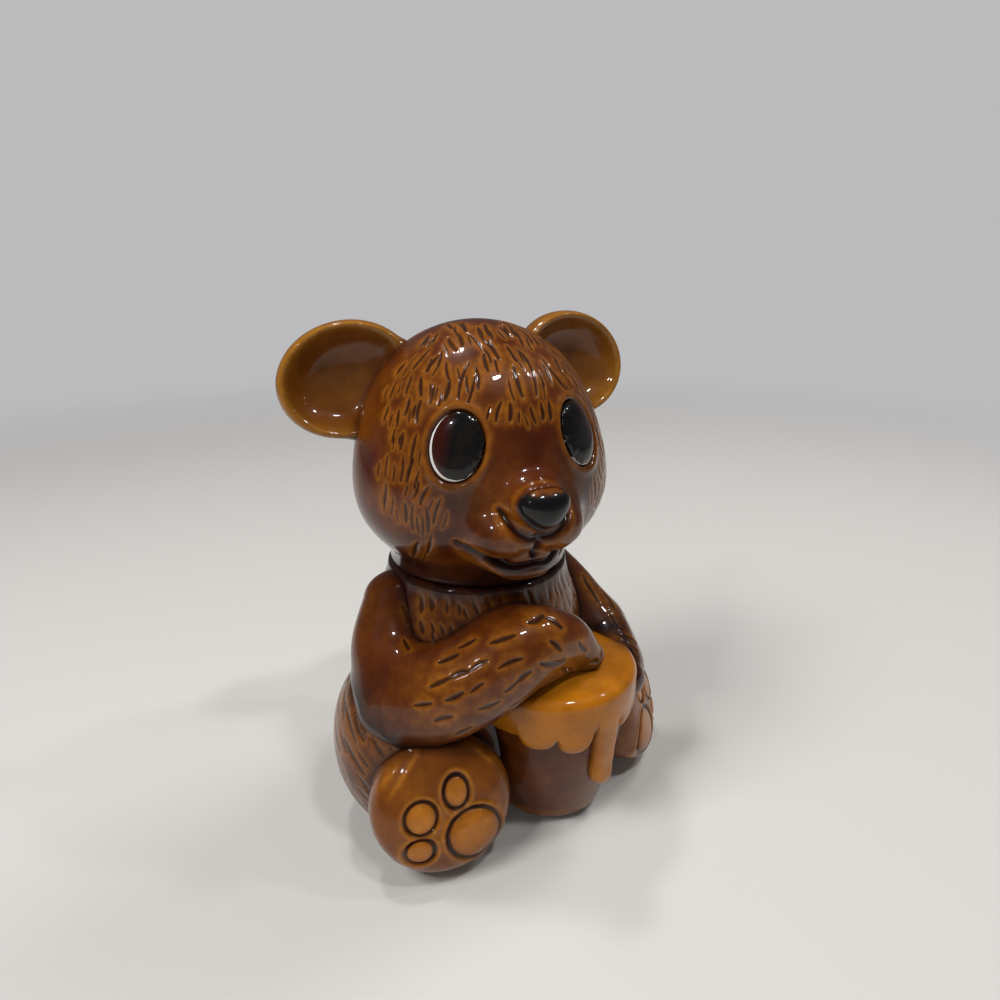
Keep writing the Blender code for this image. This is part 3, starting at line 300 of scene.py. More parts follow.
# Strokes as turn and height of both ends: rows on chest and back, and slanting haunches
CHEST_FUR = [
    (t + 3 * sway, 68 - 6 * r + 1.5 * math.cos(2.3 * t), t + 2 + 4 * sway, 64 - 6 * r)
    for r in range(4) for t in range(-72 + 5 * (r % 2), 78, 11)
    for sway in [math.sin(1.9 * t + 2 * r)]
]
BACK_FUR = [
    (t + 5 * sway, top, t + 3 + 6 * sway, top - 4.5)
    for r in range(8) for t in range(106 + 7 * (r % 2), 258, 15)
    for sway in [math.sin(2.7 * t + r)]
    for top in [65 - 7 * r + 2 * math.sin(1.3 * t + 2 * r)]
]
HAUNCH_FUR = [
    (83, 40, 75, 34), (77, 45, 69, 39), (79, 32, 71, 26), (86, 26, 80, 20), (68, 36, 62, 30),
    (73, 24, 67, 17), (88, 34, 82, 28), (64, 28, 60, 22), (92, 42, 86, 36), (94, 30, 89, 23),
    (78, 16, 74, 10), (98, 38, 93, 31), (101, 26, 97, 18), (90, 18, 86, 11), (84, 50, 76, 45),
    (94, 50, 89, 44),
]
HAUNCH_FUR += [(-a, b, -c, d) for a, b, c, d in HAUNCH_FUR]
torso_fur = [(on_torso(a, b), on_torso(c, d)) for a, b, c, d in CHEST_FUR + BACK_FUR + HAUNCH_FUR]
torso_fur = with_fine_strokes(torso_fur, np.array([0, 0, 0.03]), 0.0032, 0.85)

brown_glaze = breaking_glaze("brown_glaze", BROWN_DEEP, BROWN_BODY, BROWN_AMBER, 0.42)
turns = full_turn(TORSO_COLUMNS)
middle = np.array([0, 0, BELLY[0][2]])
top_rise = math.atan2(SEAM - RIM_ROUND - middle[2], NECK_RADIUS)
rises = np.linspace(-math.pi / 2, top_rise, TORSO_ROWS + 1)[1:, None]
torso_skin = skin(torso_field, middle, ways_out(turns, rises))
torso_normals = grid_normals(torso_skin, middle)
hollow, _, tint, close = carve(torso_skin, torso_normals, torso_fur, TORSO_FUR_WIDTH)
calm = np.clip((SEAM - 0.0015 - torso_skin[..., 2]) / 0.002, 0, 1)
torso_skin = torso_skin + (-FUR_DEPTH * hollow * calm)[..., None] * torso_normals
# Radius and height of the rim's round edges, its flat top and the bore
RIM = np.array([
    (NECK_RADIUS - 0.3 * RIM_ROUND, SEAM - 0.3 * RIM_ROUND), (NECK_RADIUS - RIM_ROUND, SEAM),
    (BORE_RADIUS + RIM_ROUND, SEAM), (BORE_RADIUS, SEAM - RIM_ROUND),
    (BORE_RADIUS, SEAM - BORE_DEPTH),
])
bore_rise = math.atan2(SEAM - BORE_DEPTH - middle[2], BORE_RADIUS)
rises = np.linspace(bore_rise, -math.pi / 2, TORSO_CAVITY_ROWS)[1:-1, None]
cavity = skin(lambda points: torso_field(points) + CLAY_WALL, middle, ways_out(turns, rises))
torso_inside = np.concatenate([circle(RIM[:, :1], RIM[:, 1:], turns), cavity])


def over_inside(values, inside):
    """Marks of the torso's skin, and one value for the rows of its rim and cavity."""
    return np.concatenate([values, np.full(torso_inside.shape[:2], inside)])


torso = fired_piece(
    "torso", np.concatenate([torso_skin, torso_inside]),
    np.array([[0, 0, UNDERSIDE], [0, 0, UNDERSIDE + CLAY_WALL]]),
    {"thin": over_inside(0.85 * tint, 0.1), "fur": over_inside(close, 0)},
    brown_glaze, "jar", "torso_shell",
)
# Painted shade: the chest darkens towards the seam under the head.
torso_seam_shade = SEAM_SHADE * np.exp(-np.maximum(SEAM - torso_skin[..., 2], 0) / SEAM_SHADE_REACH)

# Feet. Two eggs of clay with flattened soles that look forwards and out. A ring is cut round
# each pad, so that the dark glaze pools in it round the pale pad.
SOLE_RADII, SOLE_PLACE, SOLE_SOFTNESS = (0.0185, 0.0175, 0.0145), 0.00725, 0.0060
FOOT_PLACES = {"right": (-0.0310, -0.0290, 0.0185), "left": (0.0385, -0.0225, 0.0185)}
SOLE_TURNS = {"right": math.radians(-14), "left": math.radians(38)}
SOLE_TILT = math.radians(20)
FOOT_UNIT = SOLE_RADII[0]
# Place aside and up, half width and half height, in units of the sole
PAD_PLACES = {
    "heel_pad": (0.34, -0.42, 0.38, 0.34),
    "toe_pad_1": (0.14, 0.20, 0.16, 0.21),
    "toe_pad_2": (-0.38, -0.04, 0.21, 0.21),
    "toe_pad_3": (-0.44, -0.48, 0.18, 0.15),
}
# Share of the pad's size, height over the sole, and how deep the glaze lies
PAD_PROFILE = np.array([
    (0.93, -0.0014, 1), (0.97, -0.0007, 0.8), (0.95, -0.0002, 0.45), (0.86, 0.00005, 0.2),
    (0.70, 0.0002, 0.05), (0.45, 0.00028, 0), (0.20, 0.0003, 0),
])
# Folds in the clay beside the toes, from one end to the other
FOOT_FOLDS = (
    ((-0.25, 0.85), (-0.78, 0.28)), ((-0.55, 0.72), (-0.88, 0.38)), ((0.45, 0.75), (0.75, 0.40)),
)
FOOT_COLUMNS, FOOT_ROWS, PAD_COLUMNS = 220, 200, 72
PAD_RING_DEPTH, PAD_BED_DEPTH, FOOT_RIDGE = 0.0007, 0.0015, 0.00022
# Width and distance from the pad's edge of the cut ring and of the ridge round it
PAD_RING, PAD_RIDGE, FOLD_WIDTH = (0.00050, 0.0002), (0.00045, 0.0013), 0.0006
FOOT_FILLET, FOOT_POOL_REACH, FOOT_KEPT_OUT = 0.0020, 0.0014, 0.006


def facing(normal, roll=0.0):
    """Across, up and out ways of a small piece that faces along a normal."""
    normal = np.asarray(normal) / np.linalg.norm(normal)
    across = np.cross(normal, (0, 0, -1))
    across /= np.linalg.norm(across)
    up = np.cross(across, -normal)
    turned = math.cos(roll) * across + math.sin(roll) * up
    return turned, np.cross(turned, -normal), normal


def within(gap, softness):
    """One inside an edge and nothing outside it: 1 / (1 + exp(gap over softness))."""
    return 1 / (1 + np.exp(np.clip(gap / softness, -40, 40)))


def fillet(distance, softness):
    """Rise towards a neighbour: (softness - distance) squared over four times the softness."""
    return np.maximum(softness - np.maximum(distance, 0), 0) ** 2 / (4 * softness)


def near_marks(neighbours, reach=0.0024):
    """How deep the glaze pools in the corner with each neighbour: exp(-distance over reach)."""
    return np.max([np.exp(-np.abs(distance) / reach) for distance in neighbours], axis=0)


def held_in_wall(points, outside, field, deep=0.0030):
    """Points drawn back towards a place outside, until they lie at most so deep under a skin."""
    outside = np.broadcast_to(outside, points.shape)
    near, far = np.zeros(points.shape[:-1]), np.ones(points.shape[:-1])
    for _ in range(20):
        half = (near + far) / 2
        fine = field(outside + half[..., None] * (points - outside)) > -deep
        near, far = np.where(fine, half, near), np.where(fine, far, half)
    kept = np.where(field(points) > -deep, 1, near)
    return outside + kept[..., None] * (points - outside)


def sole_ways(side):
    """Across, up and out ways of a foot's sole."""
    return facing(ways_out(SOLE_TURNS[side], SOLE_TILT))


def on_sole(points, side):
    """Places across, up and out from the middle of a foot."""
    return (points - np.array(FOOT_PLACES[side])) @ np.array(sole_ways(side)).T


def foot_distance(points, side):
    """An ellipsoid cut softly by the plane of the sole, and flat over the table."""
    local = on_sole(points, side)
    egg = ellipsoid(local, (0, 0, 0), SOLE_RADII)
    egg = -soft_union(-egg, SOLE_PLACE - local[..., 2], SOLE_SOFTNESS)
    return np.maximum(egg, UNDERSIDE - points[..., 2])


paw_glaze = breaking_glaze(
    "paw_glaze", BROWN_DEEP, (0.145, 0.0370, 0.0038), (0.340, 0.1180, 0.0085), 0.60
)
pad_glaze = breaking_glaze(
    "pad_glaze", (0.045, 0.010, 0.0020), (0.270, 0.080, 0.0060), (0.480, 0.170, 0.0140), 0.6
)
feet = []
lean = np.linspace(-math.pi / 2, math.pi / 2, FOOT_ROWS + 2)[1:-1, None, None]
turn = full_turn(FOOT_COLUMNS)[:, None]
pad_turn = full_turn(PAD_COLUMNS)[:, None]
for side, mirror in (("right", -1), ("left", 1)):
    field = lambda points: foot_distance(points, side)
    middle = np.array(FOOT_PLACES[side])
    across, up, out = sole_ways(side)
    ways = np.cos(lean) * (np.cos(turn) * across + np.sin(turn) * up) + np.sin(lean) * out
    rings = skin(field, middle, ways)
    normals = grid_normals(rings, middle)
    x, y, outwards = np.moveaxis(on_sole(rings, side), -1, 0)
    cut, inside, ridge = np.zeros((3, *rings.shape[:-1]))
    for aside, rise, half_width, half_height in PAD_PLACES.values():
        share = np.hypot(
            (x + mirror * aside * FOOT_UNIT) / (half_width * FOOT_UNIT),
            (y - rise * FOOT_UNIT) / (half_height * FOOT_UNIT),
        )
        gap = (share - 1) * min(half_width, half_height) * FOOT_UNIT
        gap = np.where(outwards > 0, gap, 1)
        cut = np.maximum(cut, bell(gap, *PAD_RING))
        inside = np.maximum(inside, within(gap + 0.0004, 0.0001))
        ridge = np.maximum(ridge, bell(gap, *PAD_RIDGE))
    for fold in FOOT_FOLDS:
        start, end = np.array(fold) * (-mirror * FOOT_UNIT, FOOT_UNIT)
        run, away = end - start, np.stack([x, y], -1) - start
        along = np.clip(away @ run / (run @ run), 0, 1)
        gap = np.linalg.norm(away - along[..., None] * run, axis=-1) + 0.01 * (outwards < 0)
        ridge = np.maximum(ridge, np.sin(math.pi * (0.1 + 0.8 * along)) * bell(gap, FOLD_WIDTH))
    gap = torso_field(rings)
    push = fillet(gap, FOOT_FILLET) - PAD_RING_DEPTH * cut
    push = push - PAD_BED_DEPTH * inside + FOOT_RIDGE * ridge
    outer, kept_out = rings + push[..., None] * normals, middle + FOOT_KEPT_OUT * out
    ends = skin(field, middle, np.array([-out, out]))
    foot = fired_piece(
        f"{side}_hind_foot", held_in_wall(outer, kept_out, torso_field),
        held_in_wall(ends, kept_out, torso_field),
        {"thin": np.clip(0.85 * ridge + 0.15, 0, 1)}, paw_glaze, "jar", f"{side}_foot",
    )
    feet.append((foot, rings, np.maximum(near_marks([gap], FOOT_POOL_REACH), cut)))
    for name, (aside, rise, half_width, half_height) in PAD_PLACES.items():
        oval = half_width * np.cos(pad_turn) * across + half_height * np.sin(pad_turn) * up
        seat = middle - mirror * aside * FOOT_UNIT * across + rise * FOOT_UNIT * up
        pad = np.array([
            skin(field, seat + share * FOOT_UNIT * oval, out) + stand * out
            for share, stand, _ in PAD_PROFILE
        ])
        ends = skin(field, seat, out) + PAD_PROFILE[[0, -1], 1][:, None] * out
        edge = PAD_PROFILE[:, 2:]
        fired_piece(
            f"{side}_{name}_glazed", pad, ends, {"pool_and_shade": edge, "thin": 0.5 * (1 - edge)},
            pad_glaze, "jar", f"{side}_{name}",
        )

# Honey pot. A small crock of the same clay in front of the belly. It is thrown round, plain
# and glazed brown, and its wall swells from the base to the mouth.
POT_MIDDLE = np.array([0.0085, -0.0240, 0])
POT_BASE_RADIUS, POT_MOUTH_RADIUS, POT_HEIGHT = 0.0145, 0.0225, 0.0420
POT_EDGE, POT_KEPT_OUT, POT_POOL_REACH = 0.0020, 0.012, 0.0016
# Heights: where painted shade darkens the wall under the honey's overhang, with the glaze thick
# there too, and the thin band over the foot
POT_SHADE_FROM, POT_SHADE_OVER, POT_FOOT_BAND = 0.0335, 0.004, (0.0015, 0.0035)
# Shares of the height and of the swell
POT_WALL = ((0.00, 0.00), (0.25, 0.38), (0.55, 0.70), (0.80, 0.90), (1.00, 1.00))
POT_COLUMNS, POT_ROWS = 300, 110


def pot_radius(height):
    """Radius of the pot's wall: a cubic swell fitted through the shares above."""
    share = (height - UNDERSIDE) / (POT_HEIGHT - UNDERSIDE)
    swell = np.clip(np.polyval(np.polyfit(*np.array(POT_WALL).T, 3), share), 0, 1)
    return POT_BASE_RADIUS + swell * (POT_MOUTH_RADIUS - POT_BASE_RADIUS)


def pot_distance(points):
    """Distance to the pot as a round wall of that radius below its mouth."""
    away = points - POT_MIDDLE
    wall = np.hypot(away[..., 0], away[..., 1]) - pot_radius(points[..., 2])
    return np.maximum(wall, points[..., 2] - POT_HEIGHT)


def quarter_round(share):
    """Rise over a rounded edge: root of 1 - (1 - share) squared."""
    return np.sqrt(np.clip(1 - (1 - np.minimum(share, 1)) ** 2, 0, 1))


def kept_out_of_cavity(points):
    """Pot or honey held in the torso's wall, drawn back level towards the front of the pot."""
    front = POT_MIDDLE - (0, POT_KEPT_OUT, 0) + points * (0, 0, 1)
    return held_in_wall(points, front, torso_field)


def gaps_to_feet(points):
    """Distances to both feet."""
    return [foot_distance(points, side) for side in FOOT_PLACES]


heights = np.linspace(0, 1, POT_ROWS)[:, None] * (POT_HEIGHT - UNDERSIDE) + UNDERSIDE
base_round = POT_EDGE * (1 - quarter_round((heights - UNDERSIDE) / POT_EDGE))
turn = full_turn(POT_COLUMNS)
uneven = 0.00012 * np.sin(3 * turn + 1) + 0.00008 * np.sin(5 * turn)
pot = circle(pot_radius(heights) - base_round + uneven, heights, turn) + POT_MIDDLE
under_honey = np.clip((heights - POT_SHADE_FROM) / POT_SHADE_OVER, 0, 1)
pool_and_shade = near_marks([torso_field(pot), *gaps_to_feet(pot)], POT_POOL_REACH)
fired_piece(
    "crock", kept_out_of_cavity(pot), POT_MIDDLE + [[0, 0, UNDERSIDE], [0, 0, POT_HEIGHT]],
    {
        # Painted shade: the whole pot a little darker, and more under the honey's overhang.
        "pool_and_shade": np.clip(np.maximum(pool_and_shade, 0.08 + 0.40 * under_honey), 0, 1),
        "thin": np.clip(0.8 * bell(heights, *POT_FOOT_BAND) + 0.16, 0, 1),
    },
    brown_glaze, "jar", "honey_pot",
)

# Honey. A crowned cap of clay over the pot's mouth with a rolled lip, and runs that hang down
# the wall with round ends. Its glaze is a clear yellow-amber, thicker and glossier.
LIP_RADIUS, LIP_ROUND, LIP_BLEND = 0.0239, 0.0031, 0.0085
HONEY_CROWN, HEM_DROP = 0.0046, 0.0066
RUN_THICK, RUN_SOFTNESS, LONG_RUN = 0.0017, 0.0012, 0.011
# A run swells by this share in a band over its end
RUN_SWELL, RUN_BELLY = 0.25, (0.0022, -0.0030)
# Runs: turn round the pot, half width as an angle, and reach below the lip
RUNS = (
    (-104, 12, 0.0082), (-72, 14, 0.0090), (-47, 15, 0.0124), (-21, 14, 0.0138),
    (3, 9.5, 0.0266), (24, 9, 0.0110), (50, 16, 0.0128), (82, 12, 0.0096),
)
HONEY_COLUMNS, HONEY_WALL_ROWS, HONEY_LIP_ROWS, HONEY_CROWN_ROWS = 620, 46, 16, 34
# Reach of the glaze pooled against the torso, and the painted shade on the honey's hanging side
HONEY_POOL_REACH, HONEY_SIDE_SHADE = 0.0011, 0.15


def honey_distance(points):
    """Distance to the honey as a thick round cake with the lip's radius."""
    away = points - POT_MIDDLE
    side = np.hypot(away[..., 0], away[..., 1]) - LIP_RADIUS
    level = np.abs(points[..., 2] - POT_HEIGHT - 0.0015) - LIP_ROUND - 0.0008
    return np.where((side > 0) & (level > 0), np.hypot(side, level), np.maximum(side, level))


def honey_top(share):
    """Height of the crown over a share s of its radius: crown (1 - s^2) (1 - 0.35 s^2)."""
    return POT_HEIGHT + LIP_ROUND + HONEY_CROWN * (1 - share**2) * (1 - 0.35 * share**2)


def eased(share):
    """From 0 to 1 with level ends: 3 share^2 - 2 share^3."""
    return share**2 * (3 - 2 * share)


turn = full_turn(HONEY_COLUMNS)
drop = np.full(HONEY_COLUMNS, HEM_DROP)
for azimuth, half, reach in RUNS:
    gone = (turn - math.radians(azimuth) + math.pi) % math.tau - math.pi
    share = np.clip(np.abs(gone) / math.radians(half), 0, 1)
    width = math.radians(half) * POT_MOUTH_RADIUS
    run = HEM_DROP + (reach - HEM_DROP) * (1 - share**8) ** 0.5
    if reach > LONG_RUN:
        run = run - 0.8 * width * (1 - np.sqrt(1 - share**2))
    drop = -soft_union(-drop, -run, RUN_SOFTNESS)
depth = drop * (1 - np.linspace(0, 1, HONEY_WALL_ROWS)[:, None] ** 1.3)
edge = np.full(depth.shape, 1.0)
for column in range(-14, 15):
    side_step = abs(column) * math.tau / HONEY_COLUMNS * POT_MOUTH_RADIUS
    below = np.maximum(np.roll(drop, column) - depth, 0)
    edge = np.minimum(edge, np.hypot(side_step, below))
thick = quarter_round(edge / RUN_THICK)
swell = bell(depth - drop, *RUN_BELLY) * np.clip((drop - 0.009) / 0.004, 0, 1)
height = POT_HEIGHT - depth
hanging = 0.60 * (POT_MOUTH_RADIUS - pot_radius(height)) * np.clip((drop - 0.015) / 0.006, 0, 1)
out = pot_radius(height) + RUN_THICK * thick * (1 + RUN_SWELL * swell) + hanging * thick
out = out + (LIP_RADIUS - out) * eased(np.clip(1 - depth / LIP_BLEND, 0, 1))
bends = np.linspace(0, math.pi / 2, HONEY_LIP_ROWS)[1:, None]
shares = np.linspace(1, 0, HONEY_CROWN_ROWS)[1:-1, None]
lip_centre = LIP_RADIUS - LIP_ROUND
honey = POT_MIDDLE + np.concatenate([
    circle(POT_MOUTH_RADIUS - 0.003, POT_HEIGHT - 0.5 * drop, turn)[None],
    circle(out, height, turn),
    circle(lip_centre + LIP_ROUND * np.cos(bends), POT_HEIGHT + LIP_ROUND * np.sin(bends), turn),
    circle(lip_centre * shares, honey_top(shares), turn),
])
# Painted shade: the honey's side below the lip is darker than its top.
honey_shade_and_pool = HONEY_SIDE_SHADE * within(honey[..., 2] - POT_HEIGHT - 0.0008, 0.0007)
honey_shade_and_pool = np.maximum(near_marks([torso_field(honey)], HONEY_POOL_REACH), honey_shade_and_pool)
honey_glaze = breaking_glaze(
    "honey_glaze", (0.060, 0.014, 0.0020), (0.450, 0.1450, 0.0035), (0.540, 0.1920, 0.0060),
    0.5, 0.03,
)
honey_piece = fired_piece(
    "honey_on_crock", kept_out_of_cavity(honey),
    POT_MIDDLE + [[0, 0, POT_HEIGHT - 0.001], [0, 0, honey_top(0)]],
    {"thin": 0.15}, honey_glaze, "jar", "honey",
)

# Arms. Two lumps of clay rolled and stuck on with slip, the upper arm and the forearm, bent
# at the elbow. The right one lies over the honey, the left one goes round behind the pot.
ARM_RADIUS = 0.0125
# Knots of each limb: place and radius, in these units
ARM_UNITS = np.array([0.0285, -0.0270, 0.0605, ARM_RADIUS])
ARM_KNOTS = {
    "right_upper_arm": (
        (-0.90, -0.11, 1.00, 0.68), (-1.09, 0.13, 0.83, 0.82), (-1.08, 0.48, 0.68, 0.99),
    ),
    "right_forearm": (
        (-1.07, 0.52, 0.67, 0.93), (-0.96, 0.80, 0.73, 0.98), (-0.71, 1.00, 0.81, 0.96),
        (-0.28, 1.17, 0.93, 0.90), (0.12, 1.28, 0.94, 0.58), (0.42, 1.37, 0.83, 0.26),
    ),
    "left_upper_arm": (
        (0.84, -0.04, 1.00, 0.66), (1.01, 0.22, 0.86, 0.72), (1.13, 0.50, 0.71, 0.75),
    ),
    "left_forearm": (
        (1.15, 0.54, 0.67, 0.71), (1.13, 0.80, 0.64, 0.70), (1.06, 1.06, 0.62, 0.60),
        (0.94, 1.28, 0.61, 0.48),
    ),
}
ARM_COLUMNS, ARM_STEPS, ARM_END_RINGS = 200, 200, 20
SHOULDER_FILLET, ELBOW_FILLET, ELBOW_POOL, ELBOW_POOL_REACH = 0.0030, 0.0070, 0.15, 0.0014
ARM_FUR_WIDTH = 1.2 * FUR_HALF_WIDTH
PAW_PRESSED, PAW_BLEND, ARM_KEPT_OUT = 0.0050, 0.010, 0.005
# Strokes as both ends in mm
ARM_FUR = {
    "right": (
        (-33.0, -29.0, 52.5, -28.8, -31.4, 54.7), (-28.6, -31.6, 54.8, -24.9, -33.4, 56.3),
        (-18.3, -33.2, 60.6, -12.4, -35.4, 61.9), (-9.0, -35.0, 62.8, -4.0, -35.0, 63.2),
        (-4.0, -35.0, 63.2, -0.6, -37.6, 61.3), (-18.9, -37.1, 57.2, -13.2, -38.6, 58.9),
        (-9.7, -40.2, 57.7, -1.7, -40.8, 56.1), (-18.7, -39.3, 52.1, -15.6, -39.9, 54.3),
        (-15.6, -39.9, 54.3, -12.2, -40.2, 56.1), (-5.5, -38.6, 61.1, -2.6, -40.2, 58.7),
        (3.0, -39.3, 58.7, 6.2, -40.0, 55.6), (-2.2, -40.8, 54.2, 2.4, -40.0, 52.5),
        (8.4, -40.2, 51.7, 11.1, -40.0, 50.4), (-36.7, -27.9, 48.5, -33.6, -30.9, 49.6),
        (-31.1, -33.2, 50.7, -27.4, -35.0, 52.5), (-26.0, -35.9, 52.4, -22.8, -36.8, 54.5),
        (-33.7, -32.1, 45.5, -30.4, -34.7, 46.8), (-24.8, -37.5, 48.4, -20.1, -39.1, 49.7),
        (-23.9, -28.3, 59.0, -19.9, -30.3, 60.6), (-29.1, -33.7, 40.3, -26.2, -36.1, 42.5),
        (-27.5, -5.4, 63.3, -27.4, -8.2, 59.4), (-30.5, -11.4, 56.6, -30.8, -15.5, 54.3),
        (-28.9, -27.0, 56.4, -24.7, -29.5, 58.2), (-24.5, -33.8, 56.3, -20.2, -35.1, 58.3),
        (-13.7, -39.5, 47.5, -16.6, -39.3, 46.7),
    ),
    "left": (
        (30.7, -13.7, 56.4, 31.1, -18.0, 52.0), (35.0, -14.4, 53.8, 34.8, -20.0, 48.8),
        (33.0, -19.6, 49.8, 32.7, -25.4, 46.4), (30.7, -11.3, 58.7, 30.5, -14.9, 55.3),
        (30.0, -25.7, 46.1, 32.0, -28.3, 40.7), (30.1, -29.0, 45.0, 31.1, -31.6, 40.9),
    ),
}


def curve_through(knots, count):
    """Catmull-Rom curve through knots, with any number of values at each knot."""
    knots = np.asarray(knots, float)
    padded = np.vstack([2 * knots[0] - knots[1], knots, 2 * knots[-1] - knots[-2]])
    place = np.linspace(0, len(knots) - 1, count)
    index = np.minimum(place.astype(int), len(knots) - 2)
    t = (place - index)[:, None]
    a, b, c, d = (padded[index + k] for k in range(4))
    return b + t / 2 * (c - a + t * (2 * a - 5 * b + 4 * c - d + t * (3 * (b - c) + d - a)))


def limb(values):
    """Round rings square to a curve of balls, with half-round ends: the rings, the ways out of
    the curve at their points, and the two closing points."""
    path, radii = values[:, :3], values[:, 3]
    ways = np.gradient(path, axis=0)
    ways /= np.linalg.norm(ways, axis=1)[:, None]
    bends = np.linspace(0, math.pi / 2, ARM_END_RINGS + 1)[1:-1, None]
    start = path[0] - radii[0] * np.sin(bends[::-1]) * ways[0]
    end = path[-1] + radii[-1] * np.sin(bends) * ways[-1]
    ends = np.array([path[0] - radii[0] * ways[0], path[-1] + radii[-1] * ways[-1]])
    narrow = np.cos(bends[:, 0])
    radii = np.concatenate([radii[0] * narrow[::-1], radii, radii[-1] * narrow])
    path = np.concatenate([start, path, end])
    ways = np.pad(ways, ((len(bends), len(bends)), (0, 0)), "edge")
    across = np.cross(ways, np.eye(3)[np.argmin(np.abs(ways).max(0))])
    across /= np.linalg.norm(across, axis=1)[:, None]
    upward = np.cross(across, ways)
    turn = full_turn(ARM_COLUMNS)[:, None]
    around = np.cos(turn) * across[:, None] + np.sin(turn) * upward[:, None]
    return path[:, None] + radii[:, None, None] * around, around, ends


def limb_distance(points, values):
    """Distance to a limb: the least of the distances to its balls along the curve."""
    flat = points.reshape(-1, 3)
    best = np.full(len(flat), 1.0)
    for ball in values[::5]:
        best = np.minimum(best, np.linalg.norm(flat - ball[:3], axis=1) - ball[3])
    return best.reshape(points.shape[:-1])


def pressed_on_honey(rings, normals):
    """The paw lies on the honey: the points of its underside sink to the crown, 5 mm at most."""
    from_axis = np.linalg.norm((rings - POT_MIDDLE)[..., :2], axis=-1)
    over = rings[..., 2] - honey_top(np.clip(from_axis / (LIP_RADIUS - LIP_ROUND), 0, 1))
    under = np.clip((0.35 - normals[..., 2]) / 1.1, 0, 1)
    under = under * np.clip((LIP_RADIUS - from_axis) / PAW_BLEND, 0, 1)
    sunk = PAW_PRESSED * np.tanh(np.maximum(over, 0) / PAW_PRESSED) * eased(under)
    return rings - sunk[..., None] * (0, 0, 1)


limbs = {name: curve_through(np.array(k) * ARM_UNITS, ARM_STEPS) for name, k in ARM_KNOTS.items()}
for side in ("right", "left"):
    fur = [
        (np.array(ends[:3]) / 1000, np.array(ends[3:]) / 1000, 0.95 + 0.2 * math.sin(2.4 * number))
        for number, ends in enumerate(ARM_FUR[side])
    ]
    pair = (f"{side}_upper_arm", f"{side}_forearm")
    for name, other in (pair, pair[::-1]):
        rings, normals, ends = limb(limbs[name])
        torso_gap, other_gap = torso_field(rings), limb_distance(rings, limbs[other])
        hollow, ridge, tint, close = carve(rings, normals, fur, ARM_FUR_WIDTH)
        rise = fillet(torso_gap, SHOULDER_FILLET) + fillet(other_gap, ELBOW_FILLET)
        rise = rise - FUR_DEPTH * hollow + 0.3 * FUR_DEPTH * ridge
        rings = rings + rise[..., None] * normals
        if side == "right":
            rings = pressed_on_honey(rings, normals)
        gaps = [torso_gap, honey_distance(rings), pot_distance(rings), *gaps_to_feet(rings)]
        pool_and_shade = np.maximum(near_marks(gaps), ELBOW_POOL * near_marks([other_gap], ELBOW_POOL_REACH))
        path = rings.mean(1)[:, None]
        level = path * (1, 1, 0)
        path = path + ARM_KEPT_OUT * level / np.linalg.norm(level, axis=-1)[..., None]
        fired_piece(
            name, held_in_wall(rings, path, torso_field),
            held_in_wall(ends, path[[0, -1], 0], torso_field),
            {"pool_and_shade": pool_and_shade, "thin": np.clip(0.14 + 0.74 * tint, 0, 1), "fur": close},
            brown_glaze, "jar", f"{side}_arm",
        )


# Corners of the jar. Feet, pot, honey and arms are stuck on with slip before the glaze, and
# the glaze runs into the corners where they meet the torso and each other and lies dark there.
# Painted shade on the chest's top under the head and on the honey's side goes in with it.
def gaps_to_limbs(points):
    """Distances to the four limbs."""
    return [limb_distance(points, values) for values in limbs.values()]


gaps = [*gaps_to_limbs(torso_skin), *gaps_to_feet(torso_skin)]
gaps += [pot_distance(torso_skin), honey_distance(torso_skin)]
mark_points(torso, "pool_and_shade", over_inside(np.maximum(near_marks(gaps), torso_seam_shade), INSIDE_DARKENING))
for foot, points, pool_and_shade in feet:
    corners = near_marks([pot_distance(points), *gaps_to_limbs(points)], FOOT_POOL_REACH)
    mark_points(foot, "pool_and_shade", np.clip(np.maximum(corners, pool_and_shade), 0, 1))
corners = near_marks(gaps_to_limbs(honey), HONEY_POOL_REACH)
mark_points(honey_piece, "pool_and_shade", np.maximum(corners, honey_shade_and_pool))


# Bare clay. The foot ring under the jar and the flange under the lid are wiped clean of
# glaze before the firing, and stay pale and matt.
def two_tones(tree, factor, low, low_colour, high, high_colour):
    """A ramp from one colour to another between two values of a factor."""
    ramp = add_node(tree, "ValToRGB", {"Fac": factor})
    first, second = ramp.color_ramp.elements
    first.position, first.color = low, (*low_colour, 1)
    second.position, second.color = high, (*high_colour, 1)
    return ramp.outputs["Color"]


bare_clay, tree, shader, place = new_finish("bare_clay")
cloud = add_node(tree, "TexNoise", {"Vector": place, "Scale": 120, "Detail": 3}).outputs["Fac"]
speckle = add_node(tree, "TexNoise", {"Vector": place, "Scale": 1400, "Detail": 2}).outputs["Fac"]
bump = add_node(tree, "Bump", {"Strength": 0.25, "Distance": 0.0003, "Height": speckle})
plug(tree, shader, {
    "Base Color": two_tones(tree, cloud, 0.30, (0.52, 0.43, 0.32), 0.70, (0.76, 0.69, 0.57)),
    "Roughness": 0.85, "Normal": bump.outputs["Normal"],
})
for name in ("foot_ring", "lid_flange"):
    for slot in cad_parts[name].material_slots:
        slot.material = bare_clay

# Head, its form and glaze. The lid of the jar, a second hollow casting. Skull and cheeks run
# together, and the muzzle stands out with two lips, the end of the nose's bridge and the
# chin. Its glaze is the torso's, with black painted over it at the nose.
LID_TURN = math.radians(-11)
HEAD_HEIGHT = 0.0655
HEAD_MIDDLE = np.array([0, 0, HEAD_HEIGHT / 2])
SKULL = ((0, -0.0010, 0.0350), (0.0315, 0.0310, 0.0305))
CHEEKS = ((0, -0.0050, 0.0220), (0.0336, 0.0270, 0.0220))
MUZZLE_PLACE = np.array([0, -0.0270, 0.0205])
MUZZLE_RADII = np.array([0.0155, 0.0150, 0.0125])
HEAD_SOFTNESS, FACE_SOFTNESS, LIP_SOFTNESS = 0.0120, 0.0050, 0.0014
